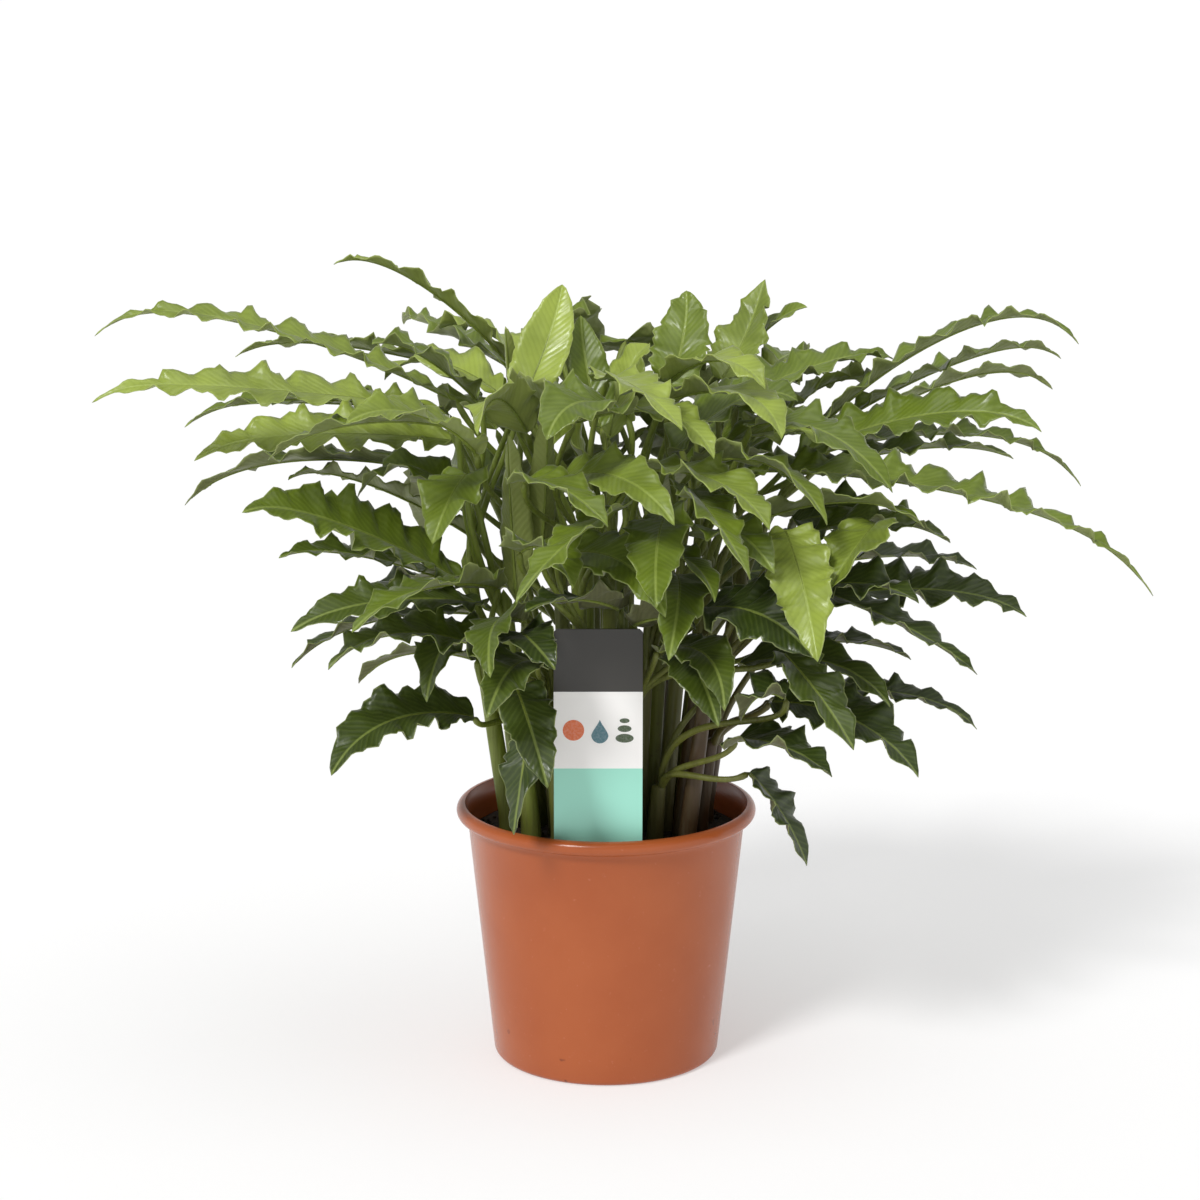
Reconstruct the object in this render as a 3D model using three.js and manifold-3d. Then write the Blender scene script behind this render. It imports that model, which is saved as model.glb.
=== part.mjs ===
// Potted blue grass calathea: wavy leaves on long stalks, standing in soil in a plastic nursery pot.
// Millimetres, +Z up. The origin is the middle of the pot's base, and the front faces -Y.
import * as THREE from "three";
import { mergeVertices } from "three/addons/utils/BufferGeometryUtils.js";
import Module from "manifold-3d";

const wasm = await Module();
wasm.setup();

// The pot
const POT_HEIGHT = 165;
const RIM_RADIUS = 95;
const RIM_LIP_RADIUS = 88.5;
const RIM_BEAD = 9;
const WALL_TOP_RADIUS = 87.6;
const BASE_RADIUS = 72;
const BASE_CORNER = 4;
const POT_WALL = 1.6;
const POT_SIDES = 32;
const DRAIN_HOLES = 6;
const DRAIN_RADIUS = 5;
const DRAIN_CIRCLE = 52;

// The soil
const SOIL_LEVEL = 150;
const SOIL_CROWN = 4;
const SOIL_SIDES = 20;
const GAP = 0.3;

// The plant label, a plastic plate pushed into the soil
const LABEL_WIDTH = 54;
const LABEL_HEIGHT = 144;
const LABEL_POINT = 30;
const LABEL_THICK = 0.9;
const LABEL_FRONT = -75;
const LABEL_LEFT = 5;
const LABEL_CORNER = 2;
const LABEL_ROOM = 40;

// Shoots: each is a sheath that stands in a hole in the soil and carries four leaves
const LEAVES_PER_SHOOT = 4;
const SHEATH_RADIUS = 6.2;
const SHEATH_TOP_RADIUS = 4.6;
const SHEATH_SIDES = 6;
const SHEATH_DEPTH = 14;
const SHEATH_STUB = 6;
const HOLE_ABOVE = 20;
const SHEATH_MOST = 190;
const SHEATH_SHARE = 0.72;
const SHEATH_LEAN = 0.0022;
const FOOT_SPOTS = 44;
const FOOT_CIRCLE = 67;
const FOOT_SHARE = 0.55;
const TIERS = [375, 300];
const TIER_STEP = 10;

// Stalks and blades
const STALK_RADIUS = 2.5;
const NECK_RADIUS = 1.8;
const STALK_RINGS = 4;
const STALK_START = 2;
const STALK_LEAVES_AT = 0.88;
const STALK_LEAN = 0.12;
const STALK_RISE = 0.4;
const ARRIVE_REACH = 0.3;
const ARRIVE_ALONG = 0.6;
const ARRIVE_UP = 0.9;
const BEND_LEFT = 0.6;
const WAVE_LENGTH = 25.5;
const RING_WAVE_LENGTH = 33;
const WAVE_HEIGHT = 0.09;
const SCALLOP = 0.12;
const SCALLOP_MIDDLE = 0.64;
const UNEVEN = 0.22;
const UNEVEN_TURN = 2.4;
const UNEVEN_HEIGHT = 0.35;
const UNEVEN_HEIGHT_TURN = 1.3;
const FULL_RIPPLE = 1.3;
const BLADE_START = 3.2;
const RIB_LOW = 0.3;
const RIB_HIGH = 0.74;
const RIB_HIGH_BOW = 1.5;
const LENGTH_STEPS = 20;
const TWIST = 36;
const SWAY = 0.13;
const RIB_THICK = 1.8;
const TIP_THICK = 1;
const BASE_POWER = 0.5;
const TIP_POWER = 0.84;
const WIDEST = BASE_POWER / (BASE_POWER + TIP_POWER);

// Room between leaves, and how far in front of the label they stay out of the way of a look at it
// from a little above
const TRIES = 2500;
const LABEL_VIEW = 90;
const LABEL_VIEW_RISE = 0.22;
const LABEL_VIEW_HALF = 20;
const CROWN_FREEDOM = 2.4;
const FIRST_SHARE = 0.22;
const WIDE_TRY = 900;
const SAMPLE = 2.6;
const CELL = 10;
const RIM_SPOTS = 180;
const CLEAR_OF_BLADE = 3.8;
const CLEAR_OF_STALK = 2.4;
const STALKS_APART = 1.5;

const UP = new THREE.Vector3(0, 0, 1);
const vec = (x, y, z) => new THREE.Vector3(x, y, z);
const rad = THREE.MathUtils.degToRad;

// A seeded stream of numbers from 0 to 1
function randomStream(seed) {
  let state = seed >>> 0;
  return () => {
    state = (Math.imul(state, 1664525) + 1013904223) >>> 0;
    return state / 4294967296;
  };
}

// One leaf: where the blade starts, where it ends, how far it arches above the straight line,
// its width, and in degrees how far it rolls about its rib and how far its halves fold up.
function leaf(neck, tip, bow, width, roll = 0, fold = 13) {
  const [start, end] = [vec(...neck), vec(...tip)];
  const angles = { roll: rad(roll), fold: rad(fold) };
  return { neck: start, tip: end, bow, width, ...angles, waveLength: WAVE_LENGTH, freedom: 1 };
}
// A leaf inside the crown, which may sit further from where it is drawn
const crownLeaf = (...drawn) => ({ ...leaf(...drawn), freedom: CROWN_FREEDOM });

// Leaves that show from the front, each at its own place, those nearest to the eye first
const PLACED_LEAVES = [
  // young upright leaves, still partly rolled
  leaf([-52, -30, 424], [-27, 4, 493], 0, 40, -20, 16),
  leaf([-60, -20, 431], [-61, -28, 471], 0, 14, 0, 50),
  leaf([-1, -30, 412], [-16, -4, 476], 0, 34, 0, 20),
  leaf([-57, -75, 313], [-60, -95, 418], 0, 30, 0, 34),
  leaf([-40, -60, 334], [-36, -80, 428], 0, 24, 0, 34),
  // leaves in front of all the others, the lowest first, then from left to right
  leaf([-78, -66, 238], [-166, -104, 210], 18, 44, 24, 18),
  leaf([-88, -40, 316], [-212, -120, 374], 12, 50, 30, 18),
  leaf([-74, -95, 406], [-149, -150, 429], 16, 34, 8, 20),
  leaf([-58, -80, 276], [-165, -112, 278], 20, 46, 24),
  leaf([-82, -60, 389], [-103, -130, 358], 10, 40),
  leaf([-48, -110, 391], [1, -175, 376], 12, 38),
  leaf([-51, -95, 346], [-19, -155, 336], 14, 42),
  leaf([-48, -96, 232], [-56, -112, 176], 8, 27),
  leaf([-50, -90, 262], [-32, -116, 205], 10, 34, -4),
  leaf([20, -90, 396], [92, -165, 373], 14, 44),
  leaf([84, -50, 387], [325, -95, 319], 30, 46, -14),
  leaf([106, -85, 357], [121, -160, 294], 12, 40),
  leaf([161, -75, 360], [131, -135, 333], 8, 42),
  leaf([106, -95, 284], [144, -150, 239], 8, 36),
  leaf([101, -55, 244], [187, -105, 210], 14, 48, -24),
  leaf([79, -65, 222], [134, -125, 215], 12, 42, -16),
  leaf([90, -55, 200], [125, -76, 146], 8, 30, -12),
  // long arching leaves on the left, from the top down
  leaf([-57, 40, 435], [-167, 0, 506], 20, 25, -6),
  leaf([-92, -20, 425], [-308, -40, 467], 22, 33, 1, 10),
  leaf([-100, -60, 426], [-299, -110, 437], 10, 38, 4, 10),
  leaf([-64, 60, 423], [-236, 60, 441], 12, 36, -2),
  leaf([-99, 40, 407], [-257, -30, 410], 14, 34),
  leaf([-107, 75, 404], [-254, 30, 410], 8, 32, -8),
  leaf([-83, -30, 400], [-246, -70, 396], 10, 44, 10),
  leaf([-82, -55, 410], [-196, -105, 400], 12, 34, 6),
  leaf([-86, 25, 336], [-195, -20, 379], 14, 34, -4),
  leaf([-86, 15, 300], [-198, -60, 335], 10, 36, 5),
  leaf([-82, -32, 304], [-181, -92, 300], 10, 38, 8),
  leaf([-80, 10, 286], [-194, -60, 267], 12, 34, 6),
  leaf([-76, 0, 232], [-98, -75, 220], 10, 44),
  // long arching leaves on the right, from the top down
  leaf([38, -30, 434], [49, 6, 489], 0, 36, -8),
  leaf([72, 20, 432], [100, 60, 490], -6, 36, -10),
  leaf([69, 40, 426], [124, 20, 479], 10, 24),
  leaf([38, -15, 412], [180, 60, 441], 16, 42, 2),
  leaf([121, 20, 404], [289, 0, 458], 34, 38, 2, 12),
  leaf([129, 40, 391], [287, 45, 442], 22, 36, 0, 12),
  leaf([144, 70, 381], [290, 95, 415], 24, 30, 2, 12),
  leaf([113, -20, 396], [259, -20, 409], 19, 44, -8),
  leaf([122, 30, 380], [301, 35, 362], 28, 34, 0, 12),
  leaf([110, -60, 388], [246, -60, 400], 10, 36, -4),
  leaf([124, -40, 346], [208, -60, 343], 12, 42, -20),
  leaf([117, 30, 308], [241, 45, 306], 12, 36, 10),
  leaf([120, -25, 299], [258, -40, 294], 12, 46, -16),
  leaf([111, -60, 322], [222, -95, 272], 10, 36, -10),
  leaf([98, 30, 254], [192, 20, 257], 8, 34, -16),
  leaf([103, 0, 231], [235, 0, 212], 20, 30, 4),
  // shorter leaves that fill the front of the crown
  crownLeaf([-77, -45, 429], [-139, -70, 466], 10, 46, 10),
  crownLeaf([-82, -60, 376], [-137, -120, 392], 16, 44, 10),
  crownLeaf([15, -100, 424], [-33, -150, 418], 16, 44, 4),
  crownLeaf([39, -60, 398], [118, -40, 426], 16, 46, 2),
  crownLeaf([92, -65, 417], [169, -105, 385], 20, 38, -6),
  crownLeaf([100, -20, 356], [165, -60, 346], 14, 50, -16),
  crownLeaf([117, -60, 316], [185, -120, 322], 14, 46, -12),
  crownLeaf([60, -80, 306], [119, -135, 290], 16, 52, -8),
  crownLeaf([122, -105, 276], [79, -150, 264], 14, 42, 10, 20),
  crownLeaf([-59, -85, 293], [-22, -125, 282], 10, 34, -4),
  // leaves turned to show the underside, low down between the stalks
  leaf([-48, -100, 294], [-96, -116, 272], 6, 32, -30),
  leaf([1, -78, 298], [-52, -92, 306], 6, 38, -34),
  leaf([18, -80, 298], [56, -90, 300], 6, 36, 34),
  // leaves that rise over the middle of the crown
  crownLeaf([-13, 10, 377], [-54, 20, 445], 8, 42),
  crownLeaf([2, 30, 393], [28, 60, 449], 8, 42),
  crownLeaf([106, -20, 413], [173, 20, 444], 14, 42, 4),
  crownLeaf([-42, 40, 424], [-107, 80, 451], 14, 42, 4),
  crownLeaf([87, 20, 420], [136, 60, 432], 14, 42),
];

// The rest of the crown by a rule: rings of leaves round the stalks, front and back, each ring
// from one bearing to another in degrees, with 0 to the right and -90 to the front
const RINGS = [
  { count: 10, from: -168, to: -12, neckOut: 60, neckUp: 420, reach: 108, rise: -12, width: 36 },
  { count: 7, from: -162, to: -18, neckOut: 74, neckUp: 392, reach: 104, rise: -14, width: 36 },
  { count: 5, from: -158, to: -100, neckOut: 78, neckUp: 342, reach: 98, rise: -16, width: 36 },
  { count: 5, from: -80, to: -20, neckOut: 78, neckUp: 342, reach: 98, rise: -16, width: 36 },
  { count: 4, from: -164, to: -116, neckOut: 80, neckUp: 284, reach: 84, rise: -20, width: 34 },
  { count: 4, from: -66, to: -18, neckOut: 80, neckUp: 284, reach: 84, rise: -20, width: 34 },
  { count: 6, from: 50, to: 130, neckOut: 58, neckUp: 430, reach: 92, rise: -62, width: 54 },
  { count: 6, from: 40, to: 140, neckOut: 72, neckUp: 376, reach: 86, rise: -66, width: 54 },
  { count: 6, from: 28, to: 152, neckOut: 70, neckUp: 412, reach: 158, rise: 18, width: 42 },
  { count: 5, from: 24, to: 156, neckOut: 86, neckUp: 350, reach: 142, rise: 5, width: 42 },
  { count: 3, from: 40, to: 140, neckOut: 82, neckUp: 290, reach: 112, rise: -20, width: 42 },
];
const RING_TURN = 76;
const RING_ROLL = 30;
const RING_BOW = 17;
const RING_FOLD = 13;

// How far the tries may move a leaf, in mm and degrees, or as shares for reach and width
const STALK_BEND = { x: 26, y: 26, z: 14 };
const RING_MOVES = { bearing: 18, out: 24, up: 28, reach: 0.3, rise: 30, bow: 8, width: 0.12 };
const PLACED_MOVES = {
  neckBack: 34,
  tipBack: 38,
  lift: 6,
  neckAside: 9,
  tipAside: 5,
  neckLift: 7,
  bow: 4,
  roll: 6,
};
const SINK = 0.2;

// Draws for one try of one leaf. Later tries may move it further.
function draws(number, attempt) {
  const next = randomStream(number * 7919 + attempt * 104729 + 1);
  const size = FIRST_SHARE + (1 - FIRST_SHARE) * Math.min(1, attempt / WIDE_TRY);
  const whole = (most) => most * (2 * next() - 1);
  return { whole, spread: (most) => size * whole(most) };
}
const bendFrom = (spread) => vec(spread(STALK_BEND.x), spread(STALK_BEND.y), spread(STALK_BEND.z));

// What is a leaf's own at every try: how far its blade twists towards the tip and its rib sways
function habit(number) {
  const next = randomStream(number * 613 + 29);
  return { number, twist: rad(TWIST) * (2 * next() - 1), sway: SWAY * (2 * next() - 1) };
}

// The pose that one try gives a leaf of a ring
function ringPose(ring, share, number, attempt) {
  const { whole, spread } = draws(number, attempt);
  const bearing = rad(ring.from + (ring.to - ring.from) * share + spread(RING_MOVES.bearing));
  const heading = bearing + rad(whole(RING_TURN));
  const neckOut = ring.neckOut + spread(RING_MOVES.out);
  const neckUp = ring.neckUp + spread(RING_MOVES.up);
  const reach = ring.reach * (1 + spread(RING_MOVES.reach));
  const rise = ring.rise + spread(RING_MOVES.rise);
  const neck = vec(neckOut * Math.cos(bearing), neckOut * Math.sin(bearing), neckUp);
  return {
    ...habit(number),
    neck,
    tip: neck.clone().add(vec(reach * Math.cos(heading), reach * Math.sin(heading), rise)),
    bow: RING_BOW + spread(RING_MOVES.bow),
    width: ring.width * (1 + spread(RING_MOVES.width)),
    roll: rad(whole(RING_ROLL)),
    fold: rad(RING_FOLD),
    waveLength: RING_WAVE_LENGTH,
    bend: bendFrom(spread),
  };
}

// The pose that one try gives a placed leaf: the first is as drawn, and later ones wander further from it,
// mostly to the front or the back, with the stalk bending out of the way as well
function shifted(drawn, number, attempt) {
  if (attempt === 0) return { ...drawn, ...habit(number), bend: vec(0, 0, 0) };
  const { spread } = draws(number, attempt);
  const neckBack = spread(PLACED_MOVES.neckBack);
  const tipBack = spread(PLACED_MOVES.tipBack);
  const lift = spread(PLACED_MOVES.lift) * drawn.freedom;
  const neckAside = spread(PLACED_MOVES.neckAside) * drawn.freedom;
  const tipAside = spread(PLACED_MOVES.tipAside) * drawn.freedom;
  const neckLift = lift - SINK * neckBack + spread(PLACED_MOVES.neckLift);
  return {
    ...drawn,
    ...habit(number),
    neck: drawn.neck.clone().add(vec(neckAside, neckBack, neckLift)),
    tip: drawn.tip.clone().add(vec(tipAside, tipBack, lift - SINK * tipBack)),
    bow: drawn.bow + spread(PLACED_MOVES.bow),
    roll: drawn.roll + rad(spread(PLACED_MOVES.roll) * drawn.freedom),
    bend: bendFrom(spread),
  };
}

function bezier(points, t) {
  const u = 1 - t;
  return vec(0, 0, 0)
    .addScaledVector(points[0], u * u * u)
    .addScaledVector(points[1], 3 * u * u * t)
    .addScaledVector(points[2], 3 * u * t * t)
    .addScaledVector(points[3], t * t * t);
}
function bezierSlope(points, t) {
  const u = 1 - t;
  return vec(0, 0, 0)
    .addScaledVector(points[0], -u * u)
    .addScaledVector(points[1], u * u - 2 * u * t)
    .addScaledVector(points[2], 2 * u * t - t * t)
    .addScaledVector(points[3], t * t)
    .normalize();
}

function ribPoints(pose) {
  const chord = pose.tip.clone().sub(pose.neck);
  const aside = vec(chord.y, -chord.x, 0).multiplyScalar(pose.sway);
  const start = pose.neck.clone();
  const inner = (share, up) => start.clone().addScaledVector(chord, share).addScaledVector(UP, up).add(aside);
  return [pose.neck, inner(RIB_LOW, pose.bow), inner(RIB_HIGH, RIB_HIGH_BOW * pose.bow), pose.tip];
}
function stalkPoints(pose, shoot) {
  const ribStart = bezierSlope(ribPoints(pose), 0);
  const arrive = ribStart.multiplyScalar(ARRIVE_ALONG).addScaledVector(UP, ARRIVE_UP).normalize();
  const start = shoot.foot.clone().lerp(shoot.top, STALK_LEAVES_AT);
  const away = vec(pose.neck.x - start.x, pose.neck.y - start.y, 0).normalize();
  start.addScaledVector(away, STALK_START);
  const reach = pose.neck.distanceTo(start);
  const along = shoot.top.clone().sub(shoot.foot).normalize();
  const leave = along.addScaledVector(away, STALK_LEAN).normalize();
  return [
    start,
    start.clone().addScaledVector(leave, STALK_RISE * reach).add(pose.bend),
    pose.neck.clone().addScaledVector(arrive, -ARRIVE_REACH * reach).addScaledVector(pose.bend, BEND_LEFT),
    pose.neck,
  ];
}

// The side and upper directions of a leaf at a point of its rib or stalk
function sides(pose, slope, roll) {
  const heading = vec(pose.tip.x - pose.neck.x, pose.tip.y - pose.neck.y, 0).normalize();
  const flat = heading.cross(UP);
  const side = flat.addScaledVector(slope, -flat.dot(slope)).normalize();
  const over = side.clone().cross(slope);
  return { side: side.applyAxisAngle(slope, -roll), over: over.applyAxisAngle(slope, -roll) };
}

const bladeShape = (s) => (s / WIDEST) ** BASE_POWER * ((1 - s) / (1 - WIDEST)) ** TIP_POWER;
const wave = (turn) => Math.cos(2 * Math.PI * turn);

function ribLength(points) {
  let length = 0;
  for (let i = 1; i <= LENGTH_STEPS; i++) {
    length += bezier(points, i / LENGTH_STEPS).distanceTo(bezier(points, (i - 1) / LENGTH_STEPS));
  }
  return length;
}

// A leaf is a run of four-cornered sections: left edge, top of the rib, right edge, underside.
// On the stalk they are small diamonds, and on the blade the edges spread, fold up and wave.
// The last diamond stands halfway between stalk and rib, so that no section cuts into the next.
function leafSections(pose, shoot) {
  const sections = [];
  const stalk = stalkPoints(pose, shoot);
  const rib = ribPoints(pose);
  for (let i = 0; i < STALK_RINGS; i++) {
    const t = i / (STALK_RINGS - 1);
    const center = bezier(stalk, t);
    const turn = pose.roll * Math.max(0, 2 * t - 1);
    const slope = bezierSlope(stalk, t);
    if (t === 1) slope.add(bezierSlope(rib, 0)).normalize();
    const { side, over } = sides(pose, slope, turn);
    const radius = STALK_RADIUS + (NECK_RADIUS - STALK_RADIUS) * t;
    sections.push([
      center.clone().addScaledVector(side, -radius),
      center.clone().addScaledVector(over, radius),
      center.clone().addScaledVector(side, radius),
      center.clone().addScaledVector(over, -radius),
    ]);
  }
  const length = ribLength(rib);
  const waves = Math.max(2, Math.round(length / pose.waveLength));
  const steps = 2 * waves;
  for (let k = 0; k < steps; k++) {
    const uneven = UNEVEN * Math.sin(UNEVEN_TURN * k + pose.number);
    const s = k === 0 ? BLADE_START / length : (k + uneven) / steps;
    const center = bezier(rib, s);
    const { side, over } = sides(pose, bezierSlope(rib, s), pose.roll + pose.twist * s);
    const half = 0.5 * pose.width * bladeShape(s);
    const height = 1 + UNEVEN_HEIGHT * Math.sin(UNEVEN_HEIGHT_TURN * k + 2 * pose.number);
    const ripple = WAVE_HEIGHT * pose.width * height * Math.min(1, FULL_RIPPLE * bladeShape(s));
    const thick = RIB_THICK + (TIP_THICK - RIB_THICK) * s;
    const edge = (way, crest) => {
      const out = half * Math.cos(pose.fold) * (1 + SCALLOP * (Math.abs(crest) - SCALLOP_MIDDLE));
      const lift = half * Math.sin(pose.fold) + ripple * crest;
      return center.clone().addScaledVector(side, way * out).addScaledVector(over, lift);
    };
    sections.push([
      edge(-1, wave(k / 2 + 0.5)),
      center.clone().addScaledVector(over, thick / 2),
      edge(1, wave(k / 2)),
      center.clone().addScaledVector(over, -thick / 2),
    ]);
  }
  return { sections, end: pose.tip };
}

// A closed mesh from sections of equal count, with a flat start and either a point or a flat end
function loft(sections, end) {
  const count = sections[0].length;
  const points = sections.flat();
  const faces = [];
  for (let i = 1; i < count - 1; i++) faces.push(0, i + 1, i);
  for (let k = 0; k + 1 < sections.length; k++) {
    for (let i = 0; i < count; i++) {
      const a = k * count + i;
      const b = k * count + ((i + 1) % count);
      const fromEdge = count === 4 && i % 2 === 1;
      if (fromEdge) faces.push(a, b, b + count, a, b + count, a + count);
      else faces.push(a, b, a + count, b, b + count, a + count);
    }
  }
  const last = (sections.length - 1) * count;
  if (end) {
    points.push(end);
    for (let i = 0; i < count; i++) faces.push(last + i, last + ((i + 1) % count), points.length - 1);
  } else {
    for (let i = 1; i < count - 1; i++) faces.push(last, last + i, last + i + 1);
  }
  const geometry = new THREE.BufferGeometry();
  geometry.setAttribute("position", new THREE.Float32BufferAttribute(points.flatMap((p) => p.toArray()), 3));
  geometry.setIndex(faces);
  return geometry;
}

// Six-sided sections of a sheath: the stub in the soil, then the part above that leans and tapers
function sheathSections(foot, top, extra = 0) {
  const ring = (center, radius) => {
    const corners = [];
    for (let i = 0; i < SHEATH_SIDES; i++) {
      const angle = (2 * Math.PI * i) / SHEATH_SIDES;
      corners.push(center.clone().add(vec(radius * Math.cos(angle), radius * Math.sin(angle), 0)));
    }
    return corners;
  };
  const radius = SHEATH_RADIUS + extra;
  const bottom = foot.clone().addScaledVector(UP, -SHEATH_DEPTH - extra);
  if (extra > 0) return [ring(bottom, radius), ring(foot.clone().addScaledVector(UP, HOLE_ABOVE), radius)];
  const low = foot.clone().addScaledVector(UP, SHEATH_STUB);
  return [ring(bottom, radius), ring(low, radius), ring(top, SHEATH_TOP_RADIUS)];
}

// Solids for joining and cutting
function toSolid(geometry) {
  const bare = geometry.clone();
  bare.deleteAttribute("normal");
  bare.deleteAttribute("uv");
  const merged = mergeVertices(bare, 1e-4);
  const mesh = new wasm.Mesh({
    numProp: 3,
    vertProperties: new Float32Array(merged.attributes.position.array),
    triVerts: new Uint32Array(merged.index.array),
  });
  return new wasm.Manifold(mesh);
}
function fromSolid(solid) {
  const { vertProperties, triVerts } = solid.getMesh();
  const geometry = new THREE.BufferGeometry();
  geometry.setAttribute("position", new THREE.Float32BufferAttribute(vertProperties, 3));
  geometry.setIndex(new THREE.Uint32BufferAttribute(triVerts, 1));
  return geometry;
}

// What already takes up room, kept as points in cubic cells
class Crowd {
  constructor() {
    this.cells = new Map();
  }
  key(i, j, k) {
    return (i + 200) * 160000 + (j + 200) * 400 + (k + 200);
  }
  add(points) {
    for (const p of points) {
      const key = this.key(Math.floor(p.x / CELL), Math.floor(p.y / CELL), Math.floor(p.z / CELL));
      if (!this.cells.has(key)) this.cells.set(key, []);
      this.cells.get(key).push(p);
    }
  }
  // Stalks of one shoot may touch each other, and everything else keeps clear
  meets(p) {
    const [i, j, k] = [Math.floor(p.x / CELL), Math.floor(p.y / CELL), Math.floor(p.z / CELL)];
    for (let a = i - 1; a <= i + 1; a++) {
      for (let b = j - 1; b <= j + 1; b++) {
        for (let c = k - 1; c <= k + 1; c++) {
          for (const q of this.cells.get(this.key(a, b, c)) ?? []) {
            if (p.stalk && q.stalk && p.shoot === q.shoot) continue;
            const apart = p.stalk ? (q.stalk ? STALKS_APART : CLEAR_OF_STALK) : CLEAR_OF_BLADE;
            const reach = (q.stalk && !p.stalk ? CLEAR_OF_STALK : apart) + p.radius + q.radius;
            const [x, y, z] = [p.x - q.x, p.y - q.y, p.z - q.z];
            if (x * x + y * y + z * z < reach * reach) return true;
          }
        }
      }
    }
    return false;
  }
}
const spot = (p, radius, shoot, stalk) => ({ x: p.x, y: p.y, z: p.z, radius, shoot, stalk });

// Points spread over a leaf, close enough together that nothing slips between them
function leafSpots(pose, shoot) {
  const { sections, end } = leafSections(pose, shoot);
  const spots = [];
  const line = (from, to, radius, stalk) => {
    const count = Math.max(1, Math.ceil(from.distanceTo(to) / SAMPLE));
    for (let i = 0; i < count; i++) {
      spots.push(spot(from.clone().lerp(to, i / count), radius, shoot.number, stalk));
    }
  };
  const middle = (section) => section[1].clone().lerp(section[3], 0.5);
  for (let k = 0; k + 1 < STALK_RINGS; k++) {
    const radius = STALK_RADIUS + ((NECK_RADIUS - STALK_RADIUS) * k) / (STALK_RINGS - 1);
    line(middle(sections[k]), middle(sections[k + 1]), radius, true);
  }
  const rows = [...sections.slice(STALK_RINGS), [end, end, end, end]];
  for (let k = 0; k + 1 < rows.length; k++) {
    for (const edge of [0, 2]) {
      const [near, far] = [middle(rows[k]), middle(rows[k + 1])];
      const across = Math.max(near.distanceTo(rows[k][edge]), far.distanceTo(rows[k + 1][edge]));
      const lanes = Math.max(1, Math.ceil(across / SAMPLE));
      for (let i = 0; i <= lanes; i++) {
        const from = near.clone().lerp(rows[k][edge], i / lanes);
        line(from, far.clone().lerp(rows[k + 1][edge], i / lanes), 0, false);
      }
    }
  }
  return spots;
}

// Shoots take the leaves four by four, the high ones first, then the middle and the low ones, in
// order round the pot. Each stands at the free spot of a sunflower pattern that is nearest to where
// its leaves are. Sheaths lean straight away from the pot's axis, more so further out, so that none
// crosses another.
function plantShoots(leaves) {
  const order = leaves.map((one, number) => {
    const tier = TIERS.filter((height) => one.neck.z < height).length;
    return { one, number, place: TIER_STEP * tier + Math.atan2(one.neck.y, one.neck.x) };
  });
  order.sort((a, b) => a.place - b.place);
  const free = [];
  for (let i = 0; i < FOOT_SPOTS; i++) {
    const out = FOOT_CIRCLE * Math.sqrt((i + 0.5) / FOOT_SPOTS);
    const angle = i * Math.PI * (3 - Math.sqrt(5));
    const place = vec(out * Math.cos(angle), out * Math.sin(angle), SOIL_LEVEL);
    const behindLabel = Math.abs(place.x + LABEL_LEFT) < LABEL_ROOM && place.y < -LABEL_ROOM;
    if (!behindLabel) free.push(place);
  }
  const shoots = [];
  for (let i = 0; i < order.length; i += LEAVES_PER_SHOOT) {
    const members = order.slice(i, i + LEAVES_PER_SHOOT);
    const middle = vec(0, 0, 0);
    for (const member of members) middle.addScaledVector(member.one.neck, 1 / members.length);
    const lowest = Math.min(...members.map((member) => member.one.neck.z));
    const wanted = vec(FOOT_SHARE * middle.x, FOOT_SHARE * middle.y, SOIL_LEVEL);
    shoots.push({ members: members.map((member) => member.number), lowest, wanted });
  }
  const far = (shoot) => Math.hypot(shoot.wanted.x, shoot.wanted.y);
  const byReach = [...shoots].sort((a, b) => far(b) - far(a));
  for (const shoot of byReach) {
    free.sort((a, b) => a.distanceTo(shoot.wanted) - b.distanceTo(shoot.wanted));
    shoot.foot = free.shift();
    const height = Math.min(SHEATH_MOST, SHEATH_SHARE * (shoot.lowest - SOIL_LEVEL));
    const spread = 1 + SHEATH_LEAN * height;
    shoot.top = vec(shoot.foot.x * spread, shoot.foot.y * spread, SOIL_LEVEL + height);
  }
  shoots.forEach((shoot, number) => (shoot.number = number));
  return shoots;
}

function sheathSpots(shoot) {
  const spots = [];
  const count = Math.ceil(shoot.foot.distanceTo(shoot.top) / SAMPLE);
  for (let i = 0; i <= count; i++) {
    const radius = SHEATH_RADIUS + ((SHEATH_TOP_RADIUS - SHEATH_RADIUS) * i) / count;
    spots.push(spot(shoot.foot.clone().lerp(shoot.top, i / count), radius - 0.5, shoot.number, true));
  }
  return spots;
}
function fixedSpots() {
  const spots = [];
  for (let i = 0; i < RIM_SPOTS; i++) {
    const angle = (2 * Math.PI * i) / RIM_SPOTS;
    const place = vec(RIM_RADIUS * Math.cos(angle), RIM_RADIUS * Math.sin(angle), POT_HEIGHT);
    spots.push(spot(place, 1, -1, false));
  }
  const [across, up] = [Math.ceil(LABEL_WIDTH / SAMPLE), Math.ceil(LABEL_HEIGHT / SAMPLE)];
  for (let i = 0; i <= across; i++) {
    for (let k = 0; k <= up; k++) {
      const aside = LABEL_WIDTH * (i / across - 0.5);
      const place = vec(aside - LABEL_LEFT, LABEL_FRONT, SOIL_LEVEL + (LABEL_HEIGHT * k) / up);
      const view = Math.abs(aside) < LABEL_VIEW_HALF ? LABEL_VIEW : 0;
      for (let front = 0; front <= view; front += 2 * SAMPLE) {
        const before = vec(0, -front, LABEL_VIEW_RISE * front);
        spots.push(spot(place.clone().add(before), LABEL_THICK, -1, false));
      }
    }
  }
  return spots;
}

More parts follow.
